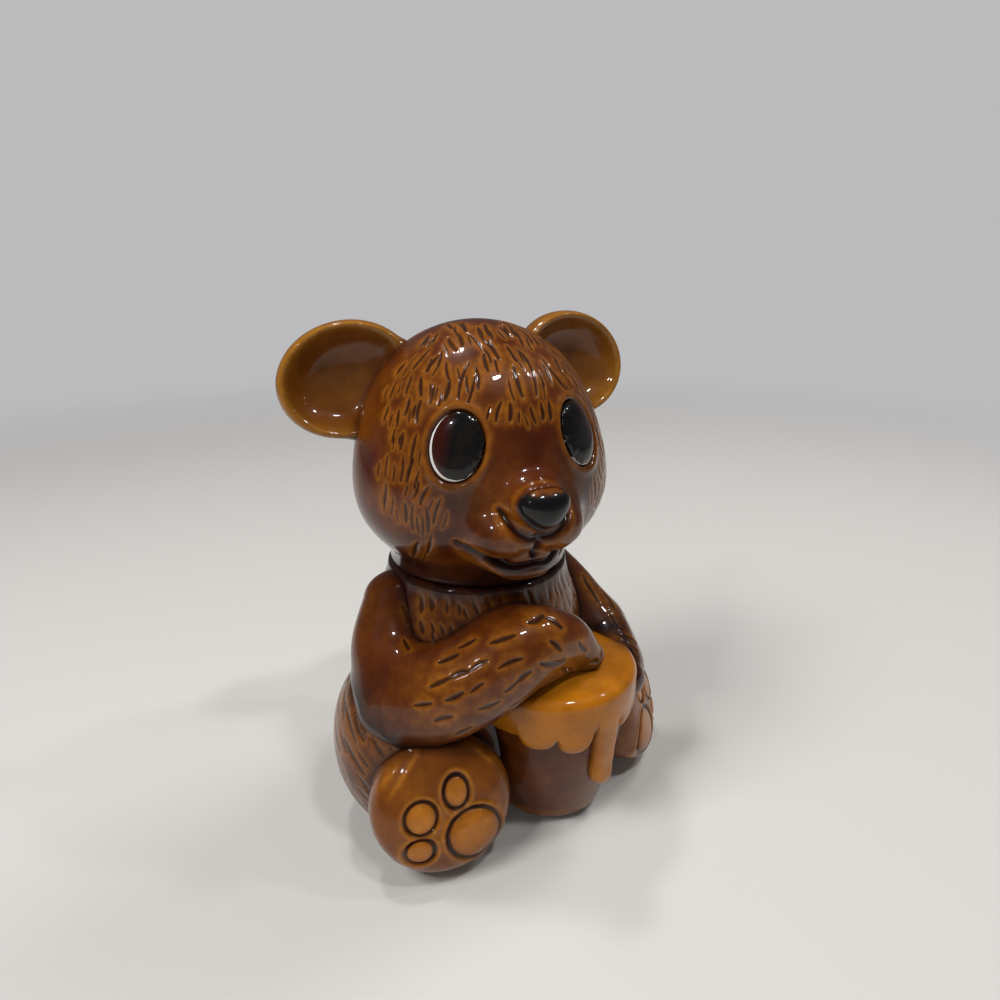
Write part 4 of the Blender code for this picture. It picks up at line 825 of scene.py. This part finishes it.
# Place and radii of the muzzle's lumps, in units of its radii
BULBS = (
    ((0.00, -0.12, 0.10), (0.86, 0.82, 0.92)), ((-0.37, 0.36, -0.11), (0.57, 0.50, 0.50)),
    ((0.37, 0.36, -0.11), (0.57, 0.50, 0.50)), ((0.00, 0.62, 0.50), (0.46, 0.46, 0.48)),
    ((0.00, 0.04, -0.80), (0.62, 0.60, 0.46)),
)
HEAD_FOOT_RADIUS, HEAD_GAP, HEAD_OPENING = 0.0246, 0.0003, 0.0173
PAINT_BLACK = (0.004, 0.004, 0.004)


def head_field(points):
    """Skull and cheeks, then the muzzle of its five bulbs, then the round foot on the rim."""
    head = soft_union(ellipsoid(points, *SKULL), ellipsoid(points, *CHEEKS), HEAD_SOFTNESS)
    muzzle = np.full(points.shape[:-1], 1.0)
    for place, size in BULBS:
        centre = MUZZLE_PLACE + np.array(place) * MUZZLE_RADII * (1, -1, 1)
        bulb = ellipsoid(points, centre, np.array(size) * MUZZLE_RADII)
        muzzle = soft_union(muzzle, bulb, LIP_SOFTNESS)
    head = soft_union(head, muzzle, FACE_SOFTNESS)
    foot = np.hypot(points[..., 0], points[..., 1]) - HEAD_FOOT_RADIUS
    head = soft_union(head, np.maximum(foot, points[..., 2] - CHEEKS[0][2]), FACE_SOFTNESS)
    return np.maximum(head, HEAD_GAP - points[..., 2])


def on_lid(points):
    """From the lid's own frame to the jar's: turned about the axis and lifted to the seam."""
    c, s = math.cos(LID_TURN), math.sin(LID_TURN)
    x, y, z = np.moveaxis(points, -1, 0)
    return np.stack([c * x - s * y, s * x + c * y, z + SEAM], -1)


def on_head(turn, rise):
    """The place on the head at a turn and a rise in degrees, seen from its middle."""
    return skin(head_field, HEAD_MIDDLE, ways_out(np.radians(turn), np.radians(rise)))


head_glaze = breaking_glaze("head_glaze", BROWN_DEEP, BROWN_BODY, BROWN_AMBER, 0.40)
tree = head_glaze.node_tree
shader = tree.nodes["Principled BSDF"]
glazed = shader.inputs["Base Color"].links[0].from_socket
colours = {0: read_mark(tree, "paint"), 6: glazed, 7: PAINT_BLACK}
over = add_node(tree, "Mix", colours, data_type="RGBA")
plug(tree, shader, {"Base Color": over.outputs[2]})

# Eyes. Flat ovals pressed into the face, painted white and then black on top, so that a
# thin white rim shows at the outer lower edge. The black glows a warm brown towards the middle.
EYE_HALF_WIDTH, EYE_HALF_HEIGHT, EYE_LEVEL = 0.00625, 0.0081, 0.0398
EYE_TURN, EYE_LEAN = math.radians(30.5), math.radians(9)
EYE_COLUMNS, EYE_ROWS, EYE_EDGE = 120, 40, 0.0010
EYE_GLOW = (0.032, 0.0050, 0.0028)
# Half width and height, shift inwards and up, depth of the edge and rise of the dome
EYE_WHITE = (EYE_HALF_WIDTH, EYE_HALF_HEIGHT, 0, 0, -0.0010, 0.0014)
EYE_BLACK = (0.0060, 0.0080, 0.00020, 0.00030, -0.0008, 0.0019)


def slope_of(field, point):
    """Unit normal of a field's surface, from the field's differences over 0.1 mm."""
    steps = 0.0001 * np.eye(3)
    slope = field(point + steps) - field(point - steps)
    return slope / np.linalg.norm(slope)


def painted_glaze(name, colour, cloudy, gloss):
    """A dense painted glaze: one colour with a faint cloud at 3 mm, or a glow where a point is
    marked as warm, under a hard gloss."""
    material, tree, shader, place = new_finish(name)
    cloud = add_node(tree, "TexNoise", {"Vector": place, "Scale": 330}).outputs["Fac"]
    tones = two_tones(tree, cloud, 0.45, colour, 0.80, cloudy)
    colours = {0: read_mark(tree, "warm"), 6: tones, 7: EYE_GLOW}
    plug(tree, shader, {
        "Base Color": add_node(tree, "Mix", colours, data_type="RGBA").outputs[2],
        "Roughness": 0.25, "Specular IOR Level": BODY_SHINE,
        "Coat Weight": GLAZE_COAT, "Coat Roughness": gloss, "Coat IOR": GLAZE_IOR,
    })
    return material


black_glaze = painted_glaze("black_glaze", PAINT_BLACK, (0.012, 0.008, 0.006), 0.03)
white_glaze = painted_glaze("white_glaze", (0.700, 0.680, 0.640), (0.560, 0.520, 0.460), 0.06)
bends = np.linspace(0, math.pi / 2, EYE_ROWS)[:-1]
turn = full_turn(EYE_COLUMNS)[:, None]
eye_frames = []
for side, name in ((-1, "right"), (1, "left")):
    spot = skin(head_field, np.array([0, 0, EYE_LEVEL]), ways_out(side * EYE_TURN, 0.0))
    across, up, out = facing(slope_of(head_field, spot), side * EYE_LEAN)
    eye_frames.append((spot, across, up, out))
    inward = -side * np.sign(across[0])
    brush = 0.030 + 0.018 * np.sin(9 * turn + side) + 0.014 * np.sin(19 * turn + 2)
    ragged = np.clip(inward * np.cos(turn), 0, 1) * brush
    for piece, node, sizes, painted, material, slot in (
        ("eye_ball", "eye_white", EYE_WHITE, 0, white_glaze, "white_glaze"),
        ("eye_painted", "eye", EYE_BLACK, 1, black_glaze, "black_glaze"),
    ):
        wide, tall, shift, lift, low, rise = sizes
        centre = spot + inward * shift * across + lift * up
        oval = (1 + painted * ragged) * (wide * np.cos(turn) * across + tall * np.sin(turn) * up)
        scales = np.append(1, np.cos(bends) ** 0.8)[:, None, None]
        stands = np.append(low - EYE_EDGE, low + rise * np.sin(bends))[:, None, None]
        rings = centre + stands * out + scales * oval
        ends = centre + np.array([[low - EYE_EDGE], [low + rise]]) * out
        outer = -inward * ((rings - centre) @ across) / wide
        warm = np.clip((outer - 0.15) / 0.45, 0, 1) * painted
        fired_piece(
            f"{name}_{piece}", on_lid(rings), on_lid(ends), {"warm": warm}, material, "lid",
            f"{name}_{node}",
        )

# Nose. An egg of clay, wider above than below, stuck on over the lips. It is painted black,
# and the paint ends in a ragged edge just over its top.
NOSE_LEVEL, NOSE_RADII, NOSE_SUNK, NOSE_WIDEN = 0.0268, (0.0058, 0.00375, 0.0048), 0.22, 0.34
NOSE_COLUMNS, NOSE_ROWS = 120, 72
# How far in front of its middle and how deep in the head its back is held, and its back end
NOSE_KEPT_OUT, NOSE_DEEP, NOSE_BACK = 0.003, 0.0036, 0.0018
# Share of its height where the black ends, on the egg and on the head behind it
PAINT_TOP, PAINT_TOP_BEHIND = 0.84, 0.70
nose_middle = skin(head_field, np.array([0, 0, NOSE_LEVEL]), np.array([0, -1.0, 0]))
nose_middle = nose_middle + np.array([0, 2 * NOSE_RADII[1] * NOSE_SUNK, 0])


def nose_distance(points):
    """An egg: an ellipsoid that is wider above than below."""
    x, y, z = np.moveaxis((points - nose_middle) / NOSE_RADII, -1, 0)
    return (np.sqrt((x / (1 + NOSE_WIDEN * z)) ** 2 + y**2 + z**2) - 1) * NOSE_RADII[2]


lean = np.linspace(-math.pi / 2, math.pi / 2, NOSE_ROWS)[1:-1, None]
turn = full_turn(NOSE_COLUMNS)
lift = np.cos(lean) * np.sin(turn)
wide = np.cos(lean) * np.cos(turn) * (1 + NOSE_WIDEN * lift)
nose = np.stack(np.broadcast_arrays(wide, -np.sin(lean), lift), -1) * NOSE_RADII + nose_middle
x = nose[..., 0]
unpainted = lift - PAINT_TOP + 0.03 * np.sin(1900 * x + 1) + 0.015 * np.sin(4700 * x)
fired_piece(
    "painted_nose",
    on_lid(held_in_wall(nose, nose_middle - (0, NOSE_KEPT_OUT, 0), head_field, NOSE_DEEP)),
    on_lid(nose_middle + [[0, NOSE_RADII[1] - NOSE_BACK, 0], [0, -NOSE_RADII[1], 0]]),
    {"pool_and_shade": 0, "thin": 0.35, "paint": within(unpainted, 0.03)},
    head_glaze, "lid", "nose",
)

# Ears. Two cupped discs of clay that look forwards and lean out, stuck on behind the brow.
# Their glaze is lighter, and runs to amber on the rim.
EAR_RADII, EAR_THICK = (0.0180, 0.0149), 0.0100
EAR_PLACE = np.array([0.0325, 0.0080, 0.0506])
EAR_TURN, EAR_NOD, EAR_ROLL = math.radians(8), math.radians(7), math.radians(14)
# Share of the radius and height over the middle plane in units of the thickness
EAR_PROFILE = (
    (0.00, -0.28), (0.30, -0.26), (0.58, -0.16), (0.76, 0.08), (0.86, 0.30), (0.93, 0.35),
    (0.98, 0.24), (1.00, 0.02), (0.97, -0.24), (0.84, -0.48), (0.55, -0.62), (0.00, -0.65),
)
EAR_COLUMNS, EAR_ROWS, EAR_FILLET, EAR_POOL_REACH, EAR_KEPT_OUT = 180, 150, 0.0035, 0.0020, 0.002
# Width and place of the thin glaze on the rim, and size of the cup, as shares of the radius
EAR_RIM, EAR_CUP = (0.10, 0.93), 0.70

ear_glaze = breaking_glaze(
    "ear_glaze", (0.070, 0.0180, 0.0030), (0.170, 0.0520, 0.0060), (0.310, 0.1300, 0.0120), 0.40
)
share, stand = curve_through(EAR_PROFILE, EAR_ROWS)[1:-1, :, None].swapaxes(0, 1)
cup = 0.28 * np.clip(1 - share / EAR_CUP, 0, 1) * (stand > -0.4)
edge = 0.95 * bell(share, *EAR_RIM) * (stand > -0.35)
turn = full_turn(EAR_COLUMNS)[:, None]
ears = []
for side, name in ((-1, "right"), (1, "left")):
    looks = (side * math.sin(EAR_TURN), -math.cos(EAR_TURN), math.tan(EAR_NOD))
    across, up, out = facing(looks, -side * EAR_ROLL)
    centre = EAR_PLACE * (side, 1, 1)
    oval = EAR_RADII[0] * np.cos(turn) * across + EAR_RADII[1] * np.sin(turn) * up
    rings = centre + share[..., None] * oval + stand[..., None] * EAR_THICK * out
    ears.append(rings)
    gap = head_field(rings)
    normals = grid_normals(rings, centre - 0.004 * out)
    raised = rings + fillet(gap, EAR_FILLET)[..., None] * normals
    fired_piece(
        f"{name}_cupped_ear",
        on_lid(held_in_wall(raised, centre + EAR_KEPT_OUT * out, head_field)),
        on_lid(centre + np.array([[EAR_PROFILE[0][1]], [EAR_PROFILE[-1][1]]]) * EAR_THICK * out),
        {"pool_and_shade": np.maximum(near_marks([gap], EAR_POOL_REACH), cup), "thin": edge},
        ear_glaze, "lid", f"{name}_ear",
    )

# Head, its face and fur. With ears, nose and eyes in place, the mouth, the lines and the fur
# are cut into the damp clay. The glaze is thick and dark in the cuts, and thin on the lips and
# round the eyes. Shade is painted dark beside the muzzle, between the eyes and under the jaw.
HEAD_COLUMNS, HEAD_ROWS, HEAD_CAVITY_ROWS = 400, 233, 13
# Paths as turn and rise in degrees round the middle of the head
SMILE = (
    (-31, -25.9), (-22, -30.2), (-11, -32.3), (0, -30.4), (11, -32.3), (22, -30.2), (31, -25.9),
)
# A second smile line, let down under the upper lip, is cut shallow; its dark mark is glaze pooled
# there and painted shade under the lip.
SMILE_POOL_AND_SHADE_DROP, SMILE_DEPTH, SMILE_POOL_AND_SHADE_DEPTH, SMILE_STEPS = 1.7, 0.0018, 0.0006, 120
NOSE_LINE = ((-14.0, -11.0), (-8.2, -16.4), (0, -20.0), (8.2, -16.4), (14.0, -11.0))
NOSE_LINE_HALF, NOSE_LINE_DEPTH, NOSE_LINE_STEPS = 0.0010, 0.0008, 80
CLEFT, CLEFT_HALF, CLEFT_DEPTH, CLEFT_STEPS = ((0, -20.0), (0, -30.4)), 0.0008, 0.0009, 40
LOWER_LIP = ((-19, -35.6), (-9, -37.9), (0, -37.6), (9, -37.9), (19, -35.6))
LIP_HALF, LIP_RISE, LIP_STEPS = 0.0011, 0.00035, 60
# Where the glaze runs thin on the face: turn, rise, reach and strength
LIP_GLOWS = (
    (-9, -22, 0.0040, 0.60), (9, -22, 0.0040, 0.60), (0, -6, 0.0050, 0.30),
    (-20, -4, 0.0050, 0.20), (20, -4, 0.0050, 0.20),
)
# Painted shade, as turn, rise, reach and strength: beside the muzzle, over the jaw and between the
# eyes
CHEEK_SHADES = (
    (-29, -9, 0.0070, 0.62), (29, -9, 0.0070, 0.62), (-44, -24, 0.0060, 0.35),
    (44, -24, 0.0060, 0.35), (0, 16, 0.0060, 0.25),
)
EYE_WELL, EYE_RIM, LINE_RIM, NOSE_FILLET = 0.0028, 0.00035, 0.00016, 0.0040
# Width and distance of bands beside the eyes, the nose and, in half widths, the lines
EYE_RIM_BAND, EYE_POOL_BAND, NOSE_BAND = (0.0009, 0.0013), (0.0004, 0.0001), (0.0008, 0.0016)
LINE_RIM_BAND, LINE_GLOW_BAND = (0.8, 2.6), (1.1, 2.6)
EAR_POOL, EAR_POOL_BELL = 0.8, 0.0022
# Painted shade over the head's lowest band at the seam, its reach, and under the cheeks below a
# level
JAW_FOOT_SHADE, JAW_REACH, JAW_SHADE, JAW_LEVEL = 0.95, 0.0060, 0.72, 0.0082
# Fur strokes as turn and rise of both ends
HEAD_FUR = [
    (-85, 76, -58, 72), (-49, 78, -34, 70), (-18, 73, -15, 64), (-3, 76, -7, 66),
    (27, 74, 14, 66), (34, 71, 22, 64), (-76, 64, -70, 57), (-67, 67, -60, 60),
    (-42, 67, -33, 59), (-48, 63, -37, 56), (-30, 67, -18, 57), (-10, 61, -7, 51),
    (3, 57, 4, 49), (-58, 55, -61, 45), (-48, 51, -51, 44), (-47, 54, -45, 46),
    (-16, 53, -15, 45), (10, 55, 12, 45), (-40, 48, -36, 40), (-36, 39, -37, 32),
    (-26, 48, -30, 33), (-22, 46, -21, 37), (-71, 46, -72, 41), (-60, 41, -59, 33),
    (-53, 40, -50, 33), (-69, 37, -69, 30), (-44, 37, -44, 30), (1, 45, 1, 33),
    (12, 47, 9, 33), (-49, 30, -49, 22), (-56, 31, -56, 24), (-10, 30, -13, 23),
    (-6, 29, -7, 23), (4, 27, 5, 21), (10, 28, 9, 22), (15, 28, 14, 22), (-60, 17, -60, 12),
    (-55, 16, -55, 10), (-48, 16, -49, 6), (-53, 7, -53, -2), (-48, 6, -50, -2),
    (-45, -2, -47, -8), (-41, -4, -44, -10), (-51, -11, -51, -18), (-47, -11, -48, -21),
    (-42, -12, -42, -21), (-36, -8, -39, -17), (-41, -24, -45, -33), (-48, -28, -54, -37),
    (-61, 6, -61, -2), (-60, -5, -61, -14), (-60, 25, -59, 19), (-68, 26, -68, 20),
]
HEAD_FUR += [(-a, b, -c, d) for a, b, c, d in HEAD_FUR if a < -17]
HEAD_FUR += [(180 - a, b, 180 - c, d) for a, b, c, d in HEAD_FUR if b < 70]
HEAD_FUR += [
    (t + 4 * sway, top, t + 1 + 5 * sway, top - 7)
    for r in range(5) for t in range(108 + 6 * (r % 2), 256, 13)
    for sway in [math.sin(2.1 * t + r)] for top in [14 - 13 * r + 4 * math.sin(1.7 * t + r)]
]


def near_path(path, half_widths):
    """Distance from the head's skin to a path, as a share of its half width at each place."""
    flat = head_skin.reshape(-1, 3)
    best = np.full(len(flat), 99.0)
    near = np.nonzero(np.linalg.norm(flat - path.mean(0), axis=1) < 0.03)[0]
    for spot, half in zip(path, np.broadcast_to(half_widths, len(path))):
        best[near] = np.minimum(best[near], np.linalg.norm(flat[near] - spot, axis=1) / half)
    return best.reshape(head_skin.shape[:-1])


def near_spot(turn, rise, reach):
    """A bell round a place on the head."""
    return bell(np.linalg.norm(head_skin - on_head(turn, rise), axis=-1), reach)


def path_on_head(knots, count, drop=0.0):
    """Places on the head along a curve through knots, let down by a few degrees."""
    turn, rise = curve_through(knots, count).T
    return on_head(turn, rise - drop)


turn = full_turn(HEAD_COLUMNS)
turns = turn - 0.45 * np.sin(turn)
low_rise = -math.atan2(HEAD_HEIGHT / 2 - HEAD_GAP - RIM_ROUND, HEAD_FOOT_RADIUS)
share = np.interp(np.arange(HEAD_ROWS) / HEAD_ROWS, (0, 0.5, 1), (0, 0.40, 1))[:, None]
rises = low_rise + share * (math.pi / 2 - low_rise)
head_skin = skin(head_field, HEAD_MIDDLE, ways_out(turns, rises))
head_normals = grid_normals(head_skin, HEAD_MIDDLE)
fur = [(on_head(a, b), on_head(c, d)) for a, b, c, d in HEAD_FUR]
fur = with_fine_strokes(fur, HEAD_MIDDLE)
hollow, ridge, tint, close = carve(head_skin, head_normals, fur, FUR_HALF_WIDTH)
push = -FUR_DEPTH * hollow + 0.15 * FUR_DEPTH * ridge
pool_and_shade, thin = np.zeros(hollow.shape), 0.95 * tint

for spot, across, up, out in eye_frames:
    away = head_skin - spot
    share = np.hypot(away @ across / EYE_HALF_WIDTH, away @ up / EYE_HALF_HEIGHT)
    gap = np.where(away @ out > -0.006, (share - 1) * EYE_HALF_WIDTH, 1)
    clear = np.clip((gap - 0.0006) / 0.0012, 0, 1)
    rim = bell(gap, *EYE_RIM_BAND)
    push = push * clear - EYE_WELL * within(gap - 0.0002, 0.00018) + EYE_RIM * rim
    pool_and_shade = np.maximum(pool_and_shade, bell(gap, *EYE_POOL_BAND))
    thin = np.maximum(thin * clear, 0.75 * rim)
    close = close * clear

place = np.linspace(0, 1, SMILE_STEPS)
smile_half = 0.0009 + 0.0007 * np.sin(math.tau * place) ** 2
smile_half = smile_half * np.clip(9 * np.minimum(place, 1 - place), 0.45, 1)
nose_half = np.sqrt(np.sin(np.linspace(0.25, math.pi - 0.25, NOSE_LINE_STEPS)))
shares, cuts = [], []
for path, half, depth in (
    (path_on_head(SMILE, SMILE_STEPS), smile_half, SMILE_DEPTH),
    (path_on_head(SMILE, SMILE_STEPS, SMILE_POOL_AND_SHADE_DROP), 0.9 * smile_half, SMILE_POOL_AND_SHADE_DEPTH),
    (path_on_head(NOSE_LINE, NOSE_LINE_STEPS), NOSE_LINE_HALF * nose_half, NOSE_LINE_DEPTH),
    (path_on_head(CLEFT, CLEFT_STEPS), CLEFT_HALF, CLEFT_DEPTH),
):
    shares.append(near_path(path, half))
    cuts.append(depth * bell(shares[-1], 1))
share = np.min(shares, axis=0)
push = push - np.max(cuts, axis=0) + LINE_RIM * bell(share, *LINE_RIM_BAND)
line = np.clip(1 - share / MARK_REACH, 0, 1)
thin = np.maximum(thin, 0.75 * bell(share, *LINE_GLOW_BAND))
for turn, rise, reach, strength in LIP_GLOWS:
    thin = np.maximum(thin, strength * near_spot(turn, rise, reach))
for turn, rise, reach, strength in CHEEK_SHADES:
    pool_and_shade = np.maximum(pool_and_shade, strength * near_spot(turn, rise, reach) * (1 - 0.7 * tint))
lower_lip = bell(near_path(path_on_head(LOWER_LIP, LIP_STEPS), LIP_HALF), 1)
push = push + LIP_RISE * lower_lip
thin = np.maximum(thin, 0.85 * lower_lip)

gap = nose_distance(head_skin)
push = push + np.where(gap > -0.0005, fillet(gap, NOSE_FILLET), 0)
x, _, z = np.moveaxis(head_skin, -1, 0)
ragged = 0.00012 * np.sin(3100 * x + 0.7) + 0.00008 * np.sin(7300 * x + 2900 * z)
below_top = within(z - nose_middle[2] - PAINT_TOP_BEHIND * NOSE_RADII[2], 0.0002)
paint = within(gap - 0.0002 - ragged, 0.00008) * below_top
thin = np.maximum(thin, 0.7 * bell(gap, *NOSE_BAND))

edges = np.concatenate([rings[::8, ::6].reshape(-1, 3) for rings in ears])
ear_gap = np.min([np.linalg.norm(head_skin - spot, axis=-1) for spot in edges], axis=0)
pool_and_shade = np.maximum(pool_and_shade, EAR_POOL * bell(ear_gap, EAR_POOL_BELL))
calm = np.clip((z - 0.0010) / 0.0015, 0, 1)
head_skin = head_skin + (push * calm)[..., None] * head_normals
# Painted shade: dark over the foot of the head by the seam and under the cheeks.
pool_and_shade = np.maximum(pool_and_shade, JAW_FOOT_SHADE * bell(head_skin[..., 2], JAW_REACH, HEAD_GAP))
pool_and_shade = np.maximum(pool_and_shade, JAW_SHADE * within(head_skin[..., 2] - JAW_LEVEL, 0.0007))

# Radius and height of the opening's upper and lower edge, and of the foot
FOOT = np.array([
    (HEAD_OPENING, HEAD_GAP + CLAY_WALL), (HEAD_OPENING, HEAD_GAP),
    (HEAD_FOOT_RADIUS - RIM_ROUND, HEAD_GAP),
])
inner_field = lambda points: head_field(points) + CLAY_WALL
opening_rise = -math.atan2(HEAD_HEIGHT / 2 - 2 * CLAY_WALL, HEAD_OPENING + CLAY_WALL)
rises = np.linspace(math.pi / 2, opening_rise, HEAD_CAVITY_ROWS)[1:, None]
cavity = skin(inner_field, HEAD_MIDDLE, ways_out(turns, rises))
head_inside = np.concatenate([cavity, circle(FOOT[:, :1], FOOT[:, 1:], turns)])
straight_up = np.array([0, 0, 1.0])
ends = [skin(field, HEAD_MIDDLE, straight_up) for field in (inner_field, head_field)]
marks = {
    mark: np.concatenate([np.full(head_inside.shape[:2], inside), np.clip(values, 0, 1)])
    for mark, values, inside in (
        ("pool_and_shade", pool_and_shade, 0.2), ("thin", thin, 0.1), ("paint", paint, 0), ("fur", close, 0),
        ("line", line, 0),
    )
}
fired_piece(
    "head", on_lid(np.concatenate([head_inside, head_skin])), on_lid(np.array(ends)), marks,
    head_glaze, "lid", "head_shell",
)

# Table, light and camera. A plain pale table that fades into a pale room. Wide soft lamps
# left, right and in front give the light, and four small ones, two overhead and two at the
# sides, are what the glaze mirrors as glints.
TABLE_SIZE = 4.0
TABLE_COLOUR, ROOM_COLOUR = (0.60, 0.585, 0.555), (0.50, 0.495, 0.505)
TABLE_END_NEAR, TABLE_END_FAR = 0.30, 0.75
MIRRORED_ROOM = 0.16
# Strength of the room's light, level and from a share of the height
ROOM_LOW, ROOM_HIGH, ROOM_HEIGHT = 0.34, 0.05, 0.35
CAMERA_BACK, CAMERA_ASIDE, CAMERA_HEIGHT = 0.1990, 0.0065, 0.1549
CAMERA_TURN, CAMERA_DOWN = math.radians(35), math.radians(19.17)
CAMERA_LENS = 27.04
LAMP_AIM = Vector((0, 0, 0.07))
# Place, size, power in watts, and whether the glaze mirrors it
LAMPS = {
    "left_lamp": ((-0.60, 0.00, 0.75), (0.30, 0.30), 4.9, False),
    "right_lamp": ((0.60, 0.05, 0.75), (0.30, 0.30), 2.9, False),
    "front_lamp": ((-0.55, -0.85, 0.55), (0.60, 0.60), 1.5, False),
    "back_glint_lamp": ((-0.05, 0.24, 0.95), (0.10, 0.05), 1.9, True),
    "front_glint_lamp": ((0.06, -0.36, 0.92), (0.10, 0.05), 1.9, True),
    "left_glint_lamp": ((-0.62, -0.20, 0.70), (0.05, 0.05), 0.9, True),
    "right_glint_lamp": ((0.50, -0.30, 0.78), (0.05, 0.05), 0.9, True),
}

table_finish, tree, shader, place = new_finish("pale_table")
plug(tree, shader, {
    "Base Color": TABLE_COLOUR, "Roughness": 0.55, "Specular IOR Level": 0.2,
})
distance = add_node(tree, "VectorMath", {0: place}, operation="LENGTH").outputs["Value"]
fade = {"Value": distance, "From Min": TABLE_END_NEAR, "From Max": TABLE_END_FAR}
fade = add_node(tree, "MapRange", fade, interpolation_type="SMOOTHSTEP").outputs["Result"]
seen = add_node(tree, "LightPath", {}).outputs["Is Camera Ray"]
faded = add_node(tree, "Math", {0: fade, 1: seen}, operation="MULTIPLY").outputs[0]
room = add_node(tree, "Emission", {"Color": ROOM_COLOUR}).outputs[0]
mixed = add_node(tree, "MixShader", {0: faded, 1: shader.outputs[0], 2: room})
plug(tree, tree.nodes["Material Output"], {"Surface": mixed.outputs[0]})
half = TABLE_SIZE / 2
corners = [(-half, -half, 0), (half, -half, 0), (half, half, 0), (-half, half, 0)]
table_mesh = bpy.data.meshes.new("table")
table_mesh.from_pydata(corners, [], [(0, 1, 2, 3)])
table_mesh.materials.append(table_finish)
table = bpy.data.objects.new("table", table_mesh)
bpy.context.collection.objects.link(table)

world = bpy.data.worlds.new("room")
bpy.context.scene.world = world
world.use_nodes = True
tree = world.node_tree
way = add_node(tree, "TexCoord", {}).outputs["Generated"]
dim = {
    "Value": add_node(tree, "SeparateXYZ", {0: way}).outputs["Z"],
    "From Min": 0.0, "From Max": ROOM_HEIGHT, "To Min": ROOM_LOW, "To Max": ROOM_HIGH,
}
dim = add_node(tree, "MapRange", dim, interpolation_type="SMOOTHSTEP").outputs["Result"]
rays = add_node(tree, "LightPath", {}).outputs
mirrored = {0: rays["Is Glossy Ray"], 1: MIRRORED_ROOM}
mirrored = add_node(tree, "Math", mirrored, operation="MULTIPLY").outputs[0]
strength = add_node(tree, "Math", {0: mirrored, 1: dim}, operation="MAXIMUM").outputs[0]
for ray in ("Is Camera Ray", "Is Transmission Ray"):
    brighter = add_node(tree, "Math", {0: rays[ray], 1: strength}, operation="MAXIMUM")
    strength = brighter.outputs[0]
plug(tree, tree.nodes["Background"], {"Color": ROOM_COLOUR, "Strength": strength})

for name, (place, size, power, glint) in LAMPS.items():
    light = bpy.data.lights.new(name, "AREA")
    light.shape = "RECTANGLE"
    light.size, light.size_y = size
    light.energy = power
    lamp = bpy.data.objects.new(name, light)
    lamp.location = place
    lamp.rotation_euler = (LAMP_AIM - Vector(place)).to_track_quat("-Z", "Y").to_euler()
    lamp.visible_glossy = glint
    bpy.context.collection.objects.link(lamp)

lens = bpy.data.cameras.new("camera")
lens.sensor_width = 36.0
lens.lens = CAMERA_LENS
lens.clip_start = 0.01
camera = bpy.data.objects.new("camera", lens)
c, s = math.cos(CAMERA_TURN), math.sin(CAMERA_TURN)
aside, back = CAMERA_ASIDE * c - CAMERA_BACK * s, -CAMERA_ASIDE * s - CAMERA_BACK * c
camera.location = Vector((aside + JAR_AXIS[0], back + JAR_AXIS[1], CAMERA_HEIGHT))
look = Vector((s * math.cos(CAMERA_DOWN), c * math.cos(CAMERA_DOWN), -math.sin(CAMERA_DOWN)))
camera.rotation_euler = look.to_track_quat("-Z", "Y").to_euler()
bpy.context.collection.objects.link(camera)
bpy.context.scene.camera = camera
bpy.context.scene.view_settings.view_transform = "Standard"
